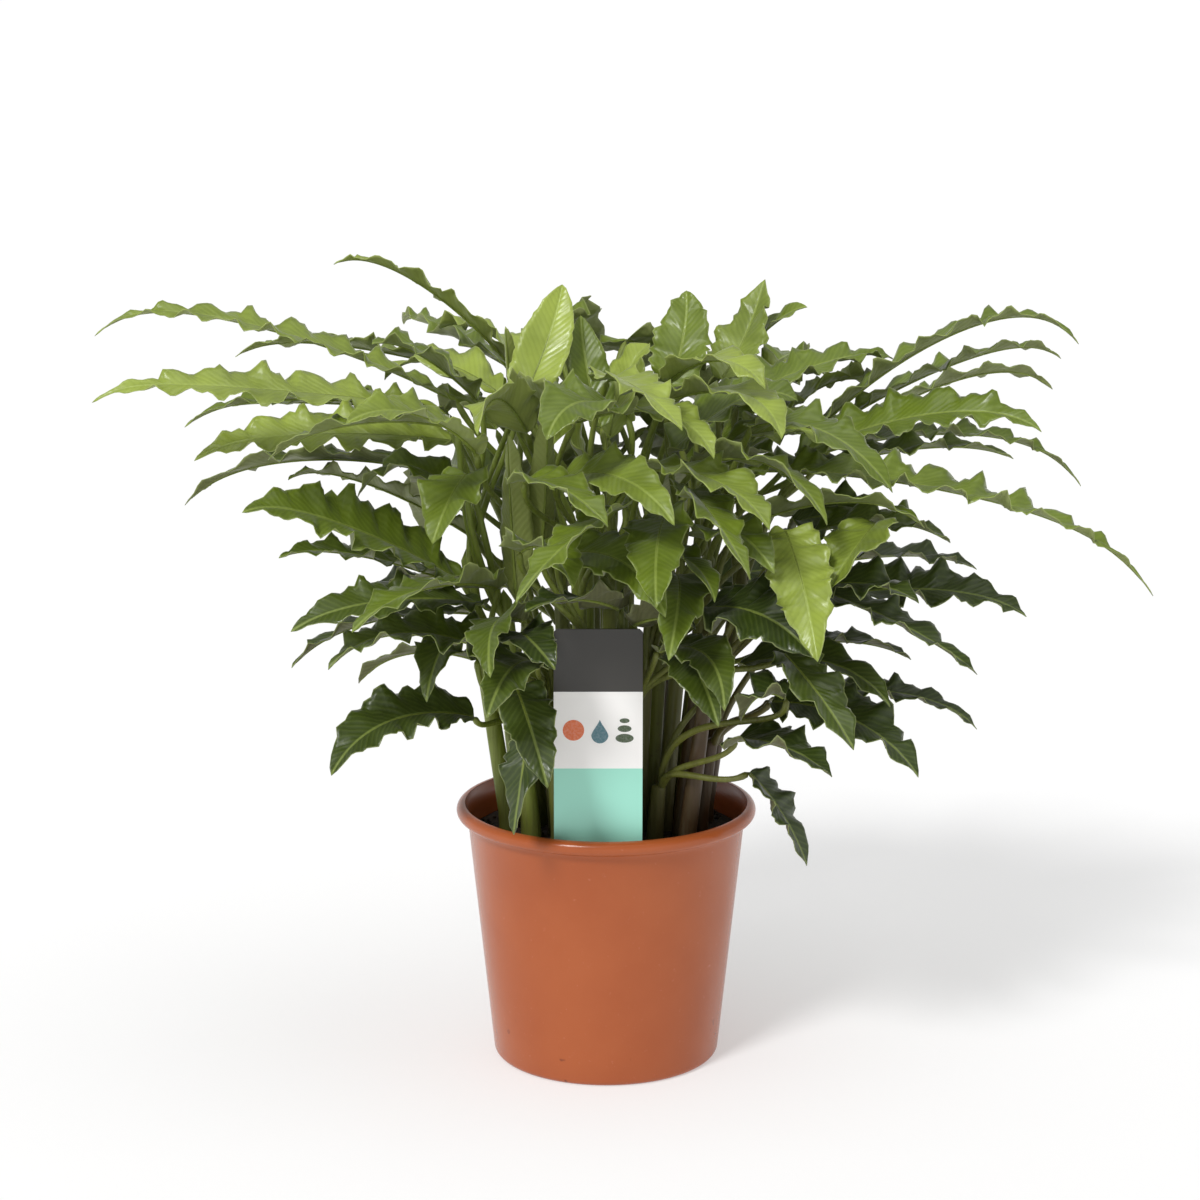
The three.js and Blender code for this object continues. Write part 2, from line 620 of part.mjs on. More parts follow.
// Grows every leaf in turn at the first pose where it has room
function growLeaves(leaves, shoots) {
  const crowd = new Crowd();
  crowd.add(fixedSpots());
  for (const shoot of shoots) {
    crowd.add(sheathSpots(shoot));
    shoot.grown = [];
  }
  leaves.forEach((one, number) => {
    const shoot = shoots.find((candidate) => candidate.members.includes(number));
    for (let attempt = 0; attempt < TRIES; attempt++) {
      const pose = one.pose(attempt);
      const spots = leafSpots(pose, shoot);
      if (spots.some((p) => crowd.meets(p))) continue;
      crowd.add(spots);
      shoot.grown.push(leafSections(pose, shoot));
      return;
    }
  });
}

const plastic = new THREE.MeshStandardMaterial({ color: 0xb2623f, roughness: 0.42 });
const earth = new THREE.MeshStandardMaterial({ color: 0x2e211a, roughness: 0.95 });
const card = new THREE.MeshStandardMaterial({ color: 0xa4dbc8, roughness: 0.4 });
const green = new THREE.MeshStandardMaterial({ color: 0x5d7a32, roughness: 0.4, side: THREE.DoubleSide });

function makeShoot(shoot) {
  const solids = [toSolid(loft(sheathSections(shoot.foot, shoot.top)))];
  for (const { sections, end } of shoot.grown) solids.push(toSolid(loft(sections, end)));
  return new THREE.Mesh(fromSolid(wasm.Manifold.union(solids)), green);
}

// Pot: a tapered wall with a rolled rim, turned about the axis, with drain holes cut in its floor
function makePot() {
  const lip = POT_HEIGHT - RIM_BEAD;
  const inner = WALL_TOP_RADIUS - POT_WALL;
  const profile = [
    [0, 0],
    [BASE_RADIUS - BASE_CORNER, 0],
    [BASE_RADIUS - 0.3 * BASE_CORNER, 0.3 * BASE_CORNER],
    [BASE_RADIUS, BASE_CORNER],
    [WALL_TOP_RADIUS, lip - 4],
    [RIM_RADIUS - 4, lip],
    [RIM_RADIUS - 0.8, lip + 2],
    [RIM_RADIUS, lip + RIM_BEAD / 2],
    [RIM_RADIUS - 1.5, POT_HEIGHT - 1],
    [RIM_RADIUS - 4, POT_HEIGHT],
    [RIM_LIP_RADIUS, POT_HEIGHT - 2],
    [inner, lip - 4],
    [BASE_RADIUS - POT_WALL, BASE_CORNER + POT_WALL],
    [0, BASE_CORNER],
  ];
  const shell = new THREE.LatheGeometry(profile.map(([r, z]) => new THREE.Vector2(r, z)), POT_SIDES);
  let pot = toSolid(shell.rotateX(Math.PI / 2));
  for (let i = 0; i < DRAIN_HOLES; i++) {
    const angle = (2 * Math.PI * (i + 0.5)) / DRAIN_HOLES;
    const hole = new THREE.CylinderGeometry(DRAIN_RADIUS, DRAIN_RADIUS, 20, 8).rotateX(Math.PI / 2);
    hole.translate(DRAIN_CIRCLE * Math.cos(angle), DRAIN_CIRCLE * Math.sin(angle), 0);
    pot = pot.subtract(toSolid(hole));
  }
  return new THREE.Mesh(fromSolid(pot), plastic);
}

// Soil: fills the pot to a low crown, with a plain hole for each shoot and a slot for the label
function makeSoil(shoots) {
  const slope = (WALL_TOP_RADIUS - BASE_RADIUS) / (POT_HEIGHT - RIM_BEAD - 4 - BASE_CORNER);
  const inner = (z) => BASE_RADIUS - POT_WALL + slope * (z - BASE_CORNER - POT_WALL) - 2 * GAP;
  const floor = BASE_CORNER + POT_WALL + GAP;
  const edge = SOIL_LEVEL - SOIL_CROWN;
  const profile = [
    [0, BASE_CORNER + GAP],
    [inner(floor) - 1, floor],
    [inner(edge), edge],
    [0.8 * inner(edge), SOIL_LEVEL - 0.3 * SOIL_CROWN],
    [0.3 * inner(edge), SOIL_LEVEL],
    [0, SOIL_LEVEL],
  ];
  const mound = new THREE.LatheGeometry(profile.map(([r, z]) => new THREE.Vector2(r, z)), SOIL_SIDES);
  let soil = toSolid(mound.rotateX(Math.PI / 2));
  for (const shoot of shoots) {
    soil = soil.subtract(toSolid(loft(sheathSections(shoot.foot, shoot.top, 1.2 * GAP))));
  }
  soil = soil.subtract(toSolid(labelPlate(GAP)));
  return new THREE.Mesh(fromSolid(soil), earth);
}

// Label: a plate with a pointed end, standing in the soil behind the front rim
function labelPlate(extra = 0) {
  const half = LABEL_WIDTH / 2 + extra;
  const top = LABEL_HEIGHT;
  const outline = new THREE.Shape();
  outline.moveTo(-4 - extra, -LABEL_POINT - extra);
  outline.lineTo(4 + extra, -LABEL_POINT - extra);
  outline.lineTo(half, -6);
  outline.lineTo(half, top - LABEL_CORNER);
  outline.lineTo(half - LABEL_CORNER, top);
  outline.lineTo(LABEL_CORNER - half, top);
  outline.lineTo(-half, top - LABEL_CORNER);
  outline.lineTo(-half, -6);
  outline.closePath();
  const depth = LABEL_THICK + 2 * extra;
  const plate = new THREE.ExtrudeGeometry(outline, { depth, bevelEnabled: false, steps: 1 });
  return plate.rotateX(Math.PI / 2).translate(-LABEL_LEFT, LABEL_FRONT + depth / 2, SOIL_LEVEL);
}

// Every leaf with where its blade starts at first, and the pose that each try gives it
const leaves = PLACED_LEAVES.map((drawn, number) => {
  return { neck: drawn.neck, pose: (attempt) => shifted(drawn, number, attempt) };
});
for (const ring of RINGS) {
  for (let i = 0; i < ring.count; i++) {
    const number = leaves.length;
    const pose = (attempt) => ringPose(ring, i / (ring.count - 1), number, attempt);
    leaves.push({ neck: pose(0).neck, pose });
  }
}
const plantedShoots = plantShoots(leaves);
growLeaves(leaves, plantedShoots);
const shoots = plantedShoots.filter((shoot) => shoot.grown.length > 0);

const plant = new THREE.Group();
function addPiece(name, mesh) {
  mesh.name = name;
  plant.add(mesh);
}
addPiece("pot", makePot());
addPiece("soil", makeSoil(shoots));
addPiece("label", new THREE.Mesh(labelPlate(), card));
for (const shoot of shoots) {
  addPiece(`shoot_${String(shoot.number + 1).padStart(2, "0")}`, makeShoot(shoot));
}

export default plant;
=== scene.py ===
# %% [markdown]
# # Potted blue grass calathea
# A bushy houseplant with long wavy leaves, in a round plastic nursery pot.
# The CAD model gives the pot, the soil, the label and a plain solid for each leafy shoot.
# Here each of them gets a finer piece in the same place, with its own finish.
# The plant's leaves follow the same rules in both files, so the two stay in step.

import math

import bmesh
import bpy
import numpy as np
from mathutils import Matrix, Vector
from mathutils.kdtree import KDTree


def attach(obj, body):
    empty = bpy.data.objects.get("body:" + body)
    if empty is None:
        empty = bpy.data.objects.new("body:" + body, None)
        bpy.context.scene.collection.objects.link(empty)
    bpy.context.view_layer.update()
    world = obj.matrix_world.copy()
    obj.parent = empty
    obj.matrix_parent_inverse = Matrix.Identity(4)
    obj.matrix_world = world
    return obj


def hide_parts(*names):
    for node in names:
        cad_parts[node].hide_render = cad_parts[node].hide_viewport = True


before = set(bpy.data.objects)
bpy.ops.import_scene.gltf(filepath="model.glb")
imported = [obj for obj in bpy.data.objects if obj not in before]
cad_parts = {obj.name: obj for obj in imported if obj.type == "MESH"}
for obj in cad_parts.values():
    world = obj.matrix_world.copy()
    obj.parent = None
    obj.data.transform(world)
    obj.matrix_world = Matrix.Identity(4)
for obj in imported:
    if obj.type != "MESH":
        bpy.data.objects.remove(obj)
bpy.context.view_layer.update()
MM = 0.001

# %% [markdown]
# ## Helpers for pieces
# A finished piece sits at the origin with its place in its mesh, as the CAD nodes do.
# It could be linked and labelled by hand each time. One helper does it, so that no step is missed:
# it makes the object, gives it its materials, lets it ride on the root body
# and hides the solid that it stands for.

# %% Piece helper


def finish_piece(name, bm, materials, replaces, smooth=True):
    mesh = bpy.data.meshes.new(name)
    bm.to_mesh(mesh)
    bm.free()
    piece = bpy.data.objects.new(name, mesh)
    bpy.context.scene.collection.objects.link(piece)
    for material in materials:
        mesh.materials.append(material)
    if smooth:
        mesh.shade_smooth()
    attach(piece, "root")
    if replaces:
        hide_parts(replaces)
    return piece


def solidify(piece, thickness, under=0):
    wall = piece.modifiers.new("thickness", "SOLIDIFY")
    wall.thickness = thickness
    wall.offset = -1
    wall.material_offset = under
    wall.material_offset_rim = 0


# %% [markdown]
# ## Helpers for finishes
# Every finish is a small network of nodes: a pattern, a ramp of colours, and a bump.
# Wiring it by hand takes many lines, so three helpers add a node, join sockets and do sums.

# %% Node helpers


def new_material(name):
    material = bpy.data.materials.new(name)
    material.use_nodes = True
    tree = material.node_tree
    shader = tree.nodes["Principled BSDF"]
    return material, tree, shader


def add_node(tree, kind, links=None, **settings):
    node = tree.nodes.new(kind)
    for key, value in settings.items():
        setattr(node, key, value)
    for socket, value in (links or {}).items():
        put(tree, node.inputs[socket], value)
    return node


def put(tree, socket, value):
    if isinstance(value, bpy.types.NodeSocket):
        tree.links.new(value, socket)
    else:
        socket.default_value = value


def sums(tree, operation, a, b=0.0, c=0.0):
    node = add_node(tree, "ShaderNodeMath", operation=operation)
    for socket, value in zip(node.inputs, (a, b, c)):
        put(tree, socket, value)
    return node.outputs[0]


def ramp(tree, factor, low, high, to_low=0.0, to_high=1.0):
    links = {"Value": factor, "From Min": low, "From Max": high, "To Min": to_low, "To Max": to_high}
    node = add_node(tree, "ShaderNodeMapRange", links, clamp=True, interpolation_type="SMOOTHSTEP")
    return node.outputs[0]


def blend(tree, factor, a, b):
    node = add_node(tree, "ShaderNodeMix", data_type="RGBA", blend_type="MIX")
    put(tree, node.inputs["Factor"], factor)
    put(tree, node.inputs[6], a)
    put(tree, node.inputs[7], b)
    return node.outputs[2]


def noise(tree, scale, detail, vector=None, roughness=0.55):
    links = {"Scale": scale, "Detail": detail, "Roughness": roughness}
    node = add_node(tree, "ShaderNodeTexNoise", links)
    if vector is None:
        vector = add_node(tree, "ShaderNodeTexCoord").outputs["Object"]
    put(tree, node.inputs["Vector"], vector)
    return node.outputs["Fac"]


def attribute(tree, name):
    return add_node(tree, "ShaderNodeAttribute", attribute_name=name).outputs["Fac"]


def bump(tree, height, strength, distance, normal=None):
    node = add_node(tree, "ShaderNodeBump", {"Height": height, "Strength": strength, "Distance": distance})
    if normal is not None:
        put(tree, node.inputs["Normal"], normal)
    return node.outputs[0]


def colour(red, green, blue):
    """A colour picked in 0 to 255, as the shaders want it."""
    channels = [c / 255 for c in (red, green, blue)]
    return (*[c / 12.92 if c <= 0.04045 else ((c + 0.055) / 1.055) ** 2.4 for c in channels], 1.0)


# %% [markdown]
# ## How the leaves are placed
# Each leaf is a pose: where its blade starts, where it ends, how far it arches, its width, its roll
# and how far its halves fold up. The CAD source draws the leaves that show from the front one by one
# and the rest by a rule of rings, then tries each leaf at seeded shifts until it has room.
# The search could be repeated here, but it is slow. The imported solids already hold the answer:
# the pose whose tip is a corner of a packed shoot is the one that grew.

# %% The leaves drawn one by one: neck, tip, bow, width, roll, fold, in mm and degrees
CROWN_FREEDOM = 2.4
YOUNG = [
    ((-52, -30, 424), (-27, 4, 493), 0, 40, -20, 16),
    ((-60, -20, 431), (-61, -28, 471), 0, 14, 0, 50),
    ((-1, -30, 412), (-16, -4, 476), 0, 34, 0, 20),
    ((-57, -75, 313), (-60, -95, 418), 0, 30, 0, 34),
    ((-40, -60, 334), (-36, -80, 428), 0, 24, 0, 34),
]
FRONT = [
    ((-78, -66, 238), (-166, -104, 210), 18, 44, 24, 18),
    ((-88, -40, 316), (-212, -120, 374), 12, 50, 30, 18),
    ((-74, -95, 406), (-149, -150, 429), 16, 34, 8, 20),
    ((-58, -80, 276), (-165, -112, 278), 20, 46, 24, 13),
    ((-82, -60, 389), (-103, -130, 358), 10, 40, 0, 13),
    ((-48, -110, 391), (1, -175, 376), 12, 38, 0, 13),
    ((-51, -95, 346), (-19, -155, 336), 14, 42, 0, 13),
    ((-48, -96, 232), (-56, -112, 176), 8, 27, 0, 13),
    ((-50, -90, 262), (-32, -116, 205), 10, 34, -4, 13),
    ((20, -90, 396), (92, -165, 373), 14, 44, 0, 13),
    ((84, -50, 387), (325, -95, 319), 30, 46, -14, 13),
    ((106, -85, 357), (121, -160, 294), 12, 40, 0, 13),
    ((161, -75, 360), (131, -135, 333), 8, 42, 0, 13),
    ((106, -95, 284), (144, -150, 239), 8, 36, 0, 13),
    ((101, -55, 244), (187, -105, 210), 14, 48, -24, 13),
    ((79, -65, 222), (134, -125, 215), 12, 42, -16, 13),
    ((90, -55, 200), (125, -76, 146), 8, 30, -12, 13),
]
LEFT = [
    ((-57, 40, 435), (-167, 0, 506), 20, 25, -6, 13),
    ((-92, -20, 425), (-308, -40, 467), 22, 33, 1, 10),
    ((-100, -60, 426), (-299, -110, 437), 10, 38, 4, 10),
    ((-64, 60, 423), (-236, 60, 441), 12, 36, -2, 13),
    ((-99, 40, 407), (-257, -30, 410), 14, 34, 0, 13),
    ((-107, 75, 404), (-254, 30, 410), 8, 32, -8, 13),
    ((-83, -30, 400), (-246, -70, 396), 10, 44, 10, 13),
    ((-82, -55, 410), (-196, -105, 400), 12, 34, 6, 13),
    ((-86, 25, 336), (-195, -20, 379), 14, 34, -4, 13),
    ((-86, 15, 300), (-198, -60, 335), 10, 36, 5, 13),
    ((-82, -32, 304), (-181, -92, 300), 10, 38, 8, 13),
    ((-80, 10, 286), (-194, -60, 267), 12, 34, 6, 13),
    ((-76, 0, 232), (-98, -75, 220), 10, 44, 0, 13),
]
RIGHT = [
    ((38, -30, 434), (49, 6, 489), 0, 36, -8, 13),
    ((72, 20, 432), (100, 60, 490), -6, 36, -10, 13),
    ((69, 40, 426), (124, 20, 479), 10, 24, 0, 13),
    ((38, -15, 412), (180, 60, 441), 16, 42, 2, 13),
    ((121, 20, 404), (289, 0, 458), 34, 38, 2, 12),
    ((129, 40, 391), (287, 45, 442), 22, 36, 0, 12),
    ((144, 70, 381), (290, 95, 415), 24, 30, 2, 12),
    ((113, -20, 396), (259, -20, 409), 19, 44, -8, 13),
    ((122, 30, 380), (301, 35, 362), 28, 34, 0, 12),
    ((110, -60, 388), (246, -60, 400), 10, 36, -4, 13),
    ((124, -40, 346), (208, -60, 343), 12, 42, -20, 13),
    ((117, 30, 308), (241, 45, 306), 12, 36, 10, 13),
    ((120, -25, 299), (258, -40, 294), 12, 46, -16, 13),
    ((111, -60, 322), (222, -95, 272), 10, 36, -10, 13),
    ((98, 30, 254), (192, 20, 257), 8, 34, -16, 13),
    ((103, 0, 231), (235, 0, 212), 20, 30, 4, 13),
]
FILL = [
    ((-77, -45, 429), (-139, -70, 466), 10, 46, 10, 13),
    ((-82, -60, 376), (-137, -120, 392), 16, 44, 10, 13),
    ((15, -100, 424), (-33, -150, 418), 16, 44, 4, 13),
    ((39, -60, 398), (118, -40, 426), 16, 46, 2, 13),
    ((92, -65, 417), (169, -105, 385), 20, 38, -6, 13),
    ((100, -20, 356), (165, -60, 346), 14, 50, -16, 13),
    ((117, -60, 316), (185, -120, 322), 14, 46, -12, 13),
    ((60, -80, 306), (119, -135, 290), 16, 52, -8, 13),
    ((122, -105, 276), (79, -150, 264), 14, 42, 10, 20),
    ((-59, -85, 293), (-22, -125, 282), 10, 34, -4, 13),
]
UNDERSIDES = [
    ((-48, -100, 294), (-96, -116, 272), 6, 32, -30, 13),
    ((1, -78, 298), (-52, -92, 306), 6, 38, -34, 13),
    ((18, -80, 298), (56, -90, 300), 6, 36, 34, 13),
]
RISING = [
    ((-13, 10, 377), (-54, 20, 445), 8, 42, 0, 13),
    ((2, 30, 393), (28, 60, 449), 8, 42, 0, 13),
    ((106, -20, 413), (173, 20, 444), 14, 42, 4, 13),
    ((-42, 40, 424), (-107, 80, 451), 14, 42, 4, 13),
    ((87, 20, 420), (136, 60, 432), 14, 42, 0, 13),
]
GROUPS = [(YOUNG, 1), (FRONT, 1), (LEFT, 1), (RIGHT, 1), (FILL, CROWN_FREEDOM)]
GROUPS += [(UNDERSIDES, 1), (RISING, CROWN_FREEDOM)]
print("leaves drawn one by one:", sum(len(group) for group, freedom in GROUPS))

# %% The rings of leaves: count, from, to, neck out, neck up, reach, rise, width
RINGS = [
    (10, -168, -12, 60, 420, 108, -12, 36),
    (7, -162, -18, 74, 392, 104, -14, 36),
    (5, -158, -100, 78, 342, 98, -16, 36),
    (5, -80, -20, 78, 342, 98, -16, 36),
    (4, -164, -116, 80, 284, 84, -20, 34),
    (4, -66, -18, 80, 284, 84, -20, 34),
    (6, 50, 130, 58, 430, 92, -62, 54),
    (6, 40, 140, 72, 376, 86, -66, 54),
    (6, 28, 152, 70, 412, 158, 18, 42),
    (5, 24, 156, 86, 350, 142, 5, 42),
    (3, 40, 140, 82, 290, 112, -20, 42),
]
RING_TURN, RING_ROLL, RING_BOW, RING_FOLD = 76, 30, 17, 13
print("leaves in rings:", sum(ring[0] for ring in RINGS))

# %% Seeded numbers and the pose that each try gives
FIRST_SHARE, WIDE_TRY, SINK = 0.22, 900, 0.2
TWIST, SWAY, WAVE_LENGTH, RING_WAVE_LENGTH = 36, 0.13, 25.5, 33
BEND = (26, 26, 14)
RING_MOVES = {"bearing": 18, "out": 24, "up": 28, "reach": 0.3, "rise": 30, "bow": 8, "width": 0.12}
PLACED_MOVES = {"neck_back": 34, "tip_back": 38, "lift": 6, "neck_aside": 9, "tip_aside": 5}
PLACED_MOVES |= {"neck_lift": 7, "bow": 4, "roll": 6}


def stream(seed):
    state = seed % 2**32
    while True:
        state = (state * 1664525 + 1013904223) % 2**32
        yield state / 2**32


def vec(*values):
    return np.array(values, float)


def draws(number, attempt):
    numbers = stream(number * 7919 + attempt * 104729 + 1)
    size = FIRST_SHARE + (1 - FIRST_SHARE) * min(1, attempt / WIDE_TRY)

    def whole(most):
        return most * (2 * next(numbers) - 1)

    return whole, lambda most: size * whole(most)


def habit(number):
    """What is a leaf's own at every try: how far its blade twists and its rib sways."""
    numbers = stream(number * 613 + 29)
    twist = math.radians(TWIST) * (2 * next(numbers) - 1)
    return {"number": number, "twist": twist, "sway": SWAY * (2 * next(numbers) - 1)}


def placed_pose(leaf, freedom, number, attempt):
    neck, tip, bow, width, roll, fold = leaf
    pose = {"neck": vec(*neck), "tip": vec(*tip), "bow": bow, "width": width} | habit(number)
    pose |= {"roll": math.radians(roll), "fold": math.radians(fold), "bend": vec(0, 0, 0)}
    pose["wave_length"] = WAVE_LENGTH
    if attempt == 0:
        return pose
    spread = draws(number, attempt)[1]
    moves = PLACED_MOVES
    neck_back, tip_back = spread(moves["neck_back"]), spread(moves["tip_back"])
    lift = spread(moves["lift"]) * freedom
    neck_aside = spread(moves["neck_aside"]) * freedom
    tip_aside = spread(moves["tip_aside"]) * freedom
    neck_lift = lift - SINK * neck_back + spread(moves["neck_lift"])
    pose["neck"] += vec(neck_aside, neck_back, neck_lift)
    pose["tip"] += vec(tip_aside, tip_back, lift - SINK * tip_back)
    pose["bow"] += spread(moves["bow"])
    pose["roll"] += math.radians(spread(moves["roll"]) * freedom)
    pose["bend"] = vec(*[spread(most) for most in BEND])
    return pose


def ring_pose(ring, share, number, attempt):
    count, first, last, neck_out, neck_up, reach, rise, width = ring
    whole, spread = draws(number, attempt)
    moves = RING_MOVES
    bearing = math.radians(first + (last - first) * share + spread(moves["bearing"]))
    heading = bearing + math.radians(whole(RING_TURN))
    neck_out += spread(moves["out"])
    neck_up += spread(moves["up"])
    reach *= 1 + spread(moves["reach"])
    rise += spread(moves["rise"])
    neck = vec(neck_out * math.cos(bearing), neck_out * math.sin(bearing), neck_up)
    pose = {"neck": neck} | habit(number)
    pose["tip"] = neck + vec(reach * math.cos(heading), reach * math.sin(heading), rise)
    pose["bow"] = RING_BOW + spread(moves["bow"])
    pose["width"] = width * (1 + spread(moves["width"]))
    pose["roll"] = math.radians(whole(RING_ROLL))
    pose["fold"] = math.radians(RING_FOLD)
    pose["wave_length"] = RING_WAVE_LENGTH
    pose["bend"] = vec(*[spread(most) for most in BEND])
    return pose


poses = []
for group, freedom in GROUPS:
    for leaf in group:
        number = len(poses)
        poses.append(lambda attempt, a=leaf, f=freedom, n=number: placed_pose(a, f, n, attempt))
for ring in RINGS:
    for i in range(ring[0]):
        share, number = i / (ring[0] - 1), len(poses)
        poses.append(lambda attempt, r=ring, s=share, n=number: ring_pose(r, s, n, attempt))
print("leaves in all:", len(poses))

# %% Where each shoot stands
LEAVES_PER_SHOOT, FOOT_SPOTS, FOOT_CIRCLE, FOOT_SHARE = 4, 44, 67, 0.55
SOIL_LEVEL, SHEATH_MOST, SHEATH_SHARE, SHEATH_LEAN = 150, 190, 0.72, 0.0022
TIERS, TIER_STEP, LABEL_ROOM, LABEL_LEFT = (375, 300), 10, 40, 5


def plant_shoots():
    necks = [pose(0)["neck"] for pose in poses]

    def place(n):
        tier = sum(necks[n][2] < height for height in TIERS)
        return TIER_STEP * tier + math.atan2(necks[n][1], necks[n][0])

    order = sorted(range(len(necks)), key=place)
    free = []
    for i in range(FOOT_SPOTS):
        out = FOOT_CIRCLE * math.sqrt((i + 0.5) / FOOT_SPOTS)
        angle = i * math.pi * (3 - math.sqrt(5))
        spot = vec(out * math.cos(angle), out * math.sin(angle), SOIL_LEVEL)
        if abs(spot[0] + LABEL_LEFT) >= LABEL_ROOM or spot[1] >= -LABEL_ROOM:
            free.append(spot)
    shoots = []
    for i in range(0, len(order), LEAVES_PER_SHOOT):
        members = order[i : i + LEAVES_PER_SHOOT]
        middle = sum(necks[n] for n in members) / len(members)
        lowest = min(necks[n][2] for n in members)
        wanted = vec(FOOT_SHARE * middle[0], FOOT_SHARE * middle[1], SOIL_LEVEL)
        shoots.append({"members": members, "lowest": lowest, "wanted": wanted})
    for shoot in sorted(shoots, key=lambda s: -math.hypot(*s["wanted"][:2])):
        free.sort(key=lambda spot: np.linalg.norm(spot - shoot["wanted"]))
        shoot["foot"] = free.pop(0)
        height = min(SHEATH_MOST, SHEATH_SHARE * (shoot["lowest"] - SOIL_LEVEL))
        lean = 1 + SHEATH_LEAN * height
        shoot["top"] = vec(shoot["foot"][0] * lean, shoot["foot"][1] * lean, SOIL_LEVEL + height)
    return shoots


shoots = plant_shoots()
print("shoots:", len(shoots))

# %% Find the pose that grew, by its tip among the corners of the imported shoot
TRIES = 2500
TIP_MATCH = 0.01


def corners_of(node):
    mesh = node.data
    tree = KDTree(len(mesh.vertices))
    for vertex in mesh.vertices:
        tree.insert(vertex.co / MM, vertex.index)
    tree.balance()
    return tree


def grown_poses(shoot, corners):
    found = []
    for number in sorted(shoot["members"]):
        for attempt in range(TRIES):
            pose = poses[number](attempt)
            if corners.find(Vector(pose["tip"]))[2] < TIP_MATCH:
                found.append({**pose, "number": number})
                break
    return found


for index, shoot in enumerate(shoots):
    shoot["node"] = f"shoot_{index + 1:02d}"
    shoot["leaves"] = []
    if shoot["node"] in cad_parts:
        shoot["leaves"] = grown_poses(shoot, corners_of(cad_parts[shoot["node"]]))
shoots = [shoot for shoot in shoots if shoot["leaves"]]
print("leaves that grew:", sum(len(shoot["leaves"]) for shoot in shoots), "on", len(shoots), "shoots")

# %% [markdown]
# ## The leaves' finish
# A leaf of this plant is satin on top, with a pale midrib, fine side veins that run forward to the
# edge, and a thin light rim where the wavy edge turns. Young leaves are yellow-green and old ones
# deep green; lower leaves are also painted darker, as painted shade under the crown, and the strips
# between the veins get a little painted shade. A picture could give all that, but here attributes
# on the blade carry the distance along the rib, the distance from it, the share of the way to the
# edge and the leaf's age with its painted shade, and nodes draw the veins from them, so they bend
# with the blade at any size.

# %% Blade finish
VEIN_PITCH = 4.6
VEIN_SWEEP = 1.15


def veins(tree):
    along, across = attribute(tree, "along"), attribute(tree, "across")
    away = sums(tree, "ABSOLUTE", across)
    wobble = noise(tree, 55, 2)
    swept = sums(tree, "MULTIPLY_ADD", away, -VEIN_SWEEP, along)
    swept = sums(tree, "MULTIPLY_ADD", wobble, 3.0, swept)
    turn = sums(tree, "MULTIPLY", swept, 2 * math.pi / VEIN_PITCH)
    return sums(tree, "MULTIPLY_ADD", sums(tree, "SINE", turn), 0.5, 0.5), away


def blade_finish(name, young, middle, old, rib, rim, roughness, glow):
    material, tree, shader = new_material(name)
    wave, away = veins(tree)
    age = attribute(tree, "age")
    # the age value blends young to old green; on the lower leaves it is partly painted shade under the crown
    leaf = blend(tree, ramp(tree, age, 0.0, 0.5), young, middle)
    leaf = blend(tree, ramp(tree, age, 0.45, 1.0), leaf, old)
    patches = ramp(tree, noise(tree, 28, 4), 0.3, 0.75)
    leaf = blend(tree, sums(tree, "MULTIPLY", patches, 0.4), leaf, old)
    line = ramp(tree, wave, 0.5, 1.0)
    leaf = blend(tree, sums(tree, "MULTIPLY", line, 0.06), leaf, rib)
    # painted shade: the low grooves between the veins are darkened a little
    valley_shade = ramp(tree, wave, 0.4, 0.0)
    leaf = blend(tree, sums(tree, "MULTIPLY", valley_shade, 0.08), leaf, old)
    near = ramp(tree, away, 1.3, 0.4)
    leaf = blend(tree, sums(tree, "MULTIPLY", near, 0.42), leaf, rib)
    edge = ramp(tree, attribute(tree, "edge"), 0.95, 0.99)
    leaf = blend(tree, sums(tree, "MULTIPLY", edge, 0.4), leaf, rim)
    grain = noise(tree, 900, 2)
    relief = sums(tree, "MULTIPLY_ADD", grain, 0.12, sums(tree, "MULTIPLY", wave, 0.5))
    relief = sums(tree, "MULTIPLY_ADD", near, -0.8, relief)
    normal = bump(tree, relief, 0.36, 0.0006)
    smears = ramp(tree, noise(tree, 60, 3), 0.35, 0.65)
    rough = sums(tree, "MULTIPLY_ADD", grain, 0.12, sums(tree, "MULTIPLY_ADD", smears, 0.2, roughness - 0.16))
    put(tree, shader.inputs["Base Color"], leaf)
    put(tree, shader.inputs["Roughness"], rough)
    put(tree, shader.inputs["Normal"], normal)
    shader.inputs["Specular IOR Level"].default_value = 0.6
    shader.inputs["Sheen Weight"].default_value = 0.22
    shader.inputs["Sheen Roughness"].default_value = 0.35
    through = add_node(tree, "ShaderNodeBsdfTranslucent")
    put(tree, through.inputs["Color"], blend(tree, 0.35, leaf, rim))
    mix = add_node(tree, "ShaderNodeMixShader")
    mix.inputs[0].default_value = glow
    tree.links.new(shader.outputs[0], mix.inputs[1])
    tree.links.new(through.outputs[0], mix.inputs[2])
    tree.links.new(mix.outputs[0], tree.nodes["Material Output"].inputs["Surface"])
    return material


blade_top = blade_finish(
    "blade_top",
    young=colour(174, 192, 82),
    middle=colour(114, 134, 34),
    old=colour(50, 66, 14),
    rib=colour(172, 190, 96),
    rim=colour(184, 196, 122),
    roughness=0.4,
    glow=0.12,
)
blade_under = blade_finish(
    "blade_under",
    young=colour(164, 178, 88),
    middle=colour(130, 142, 78),
    old=colour(92, 94, 54),
    rib=colour(164, 174, 104),
    rim=colour(168, 178, 112),
    roughness=0.62,
    glow=0.12,
)
print("finishes:", [m.name for m in (blade_top, blade_under)])

# %% Stalk and sheath finish


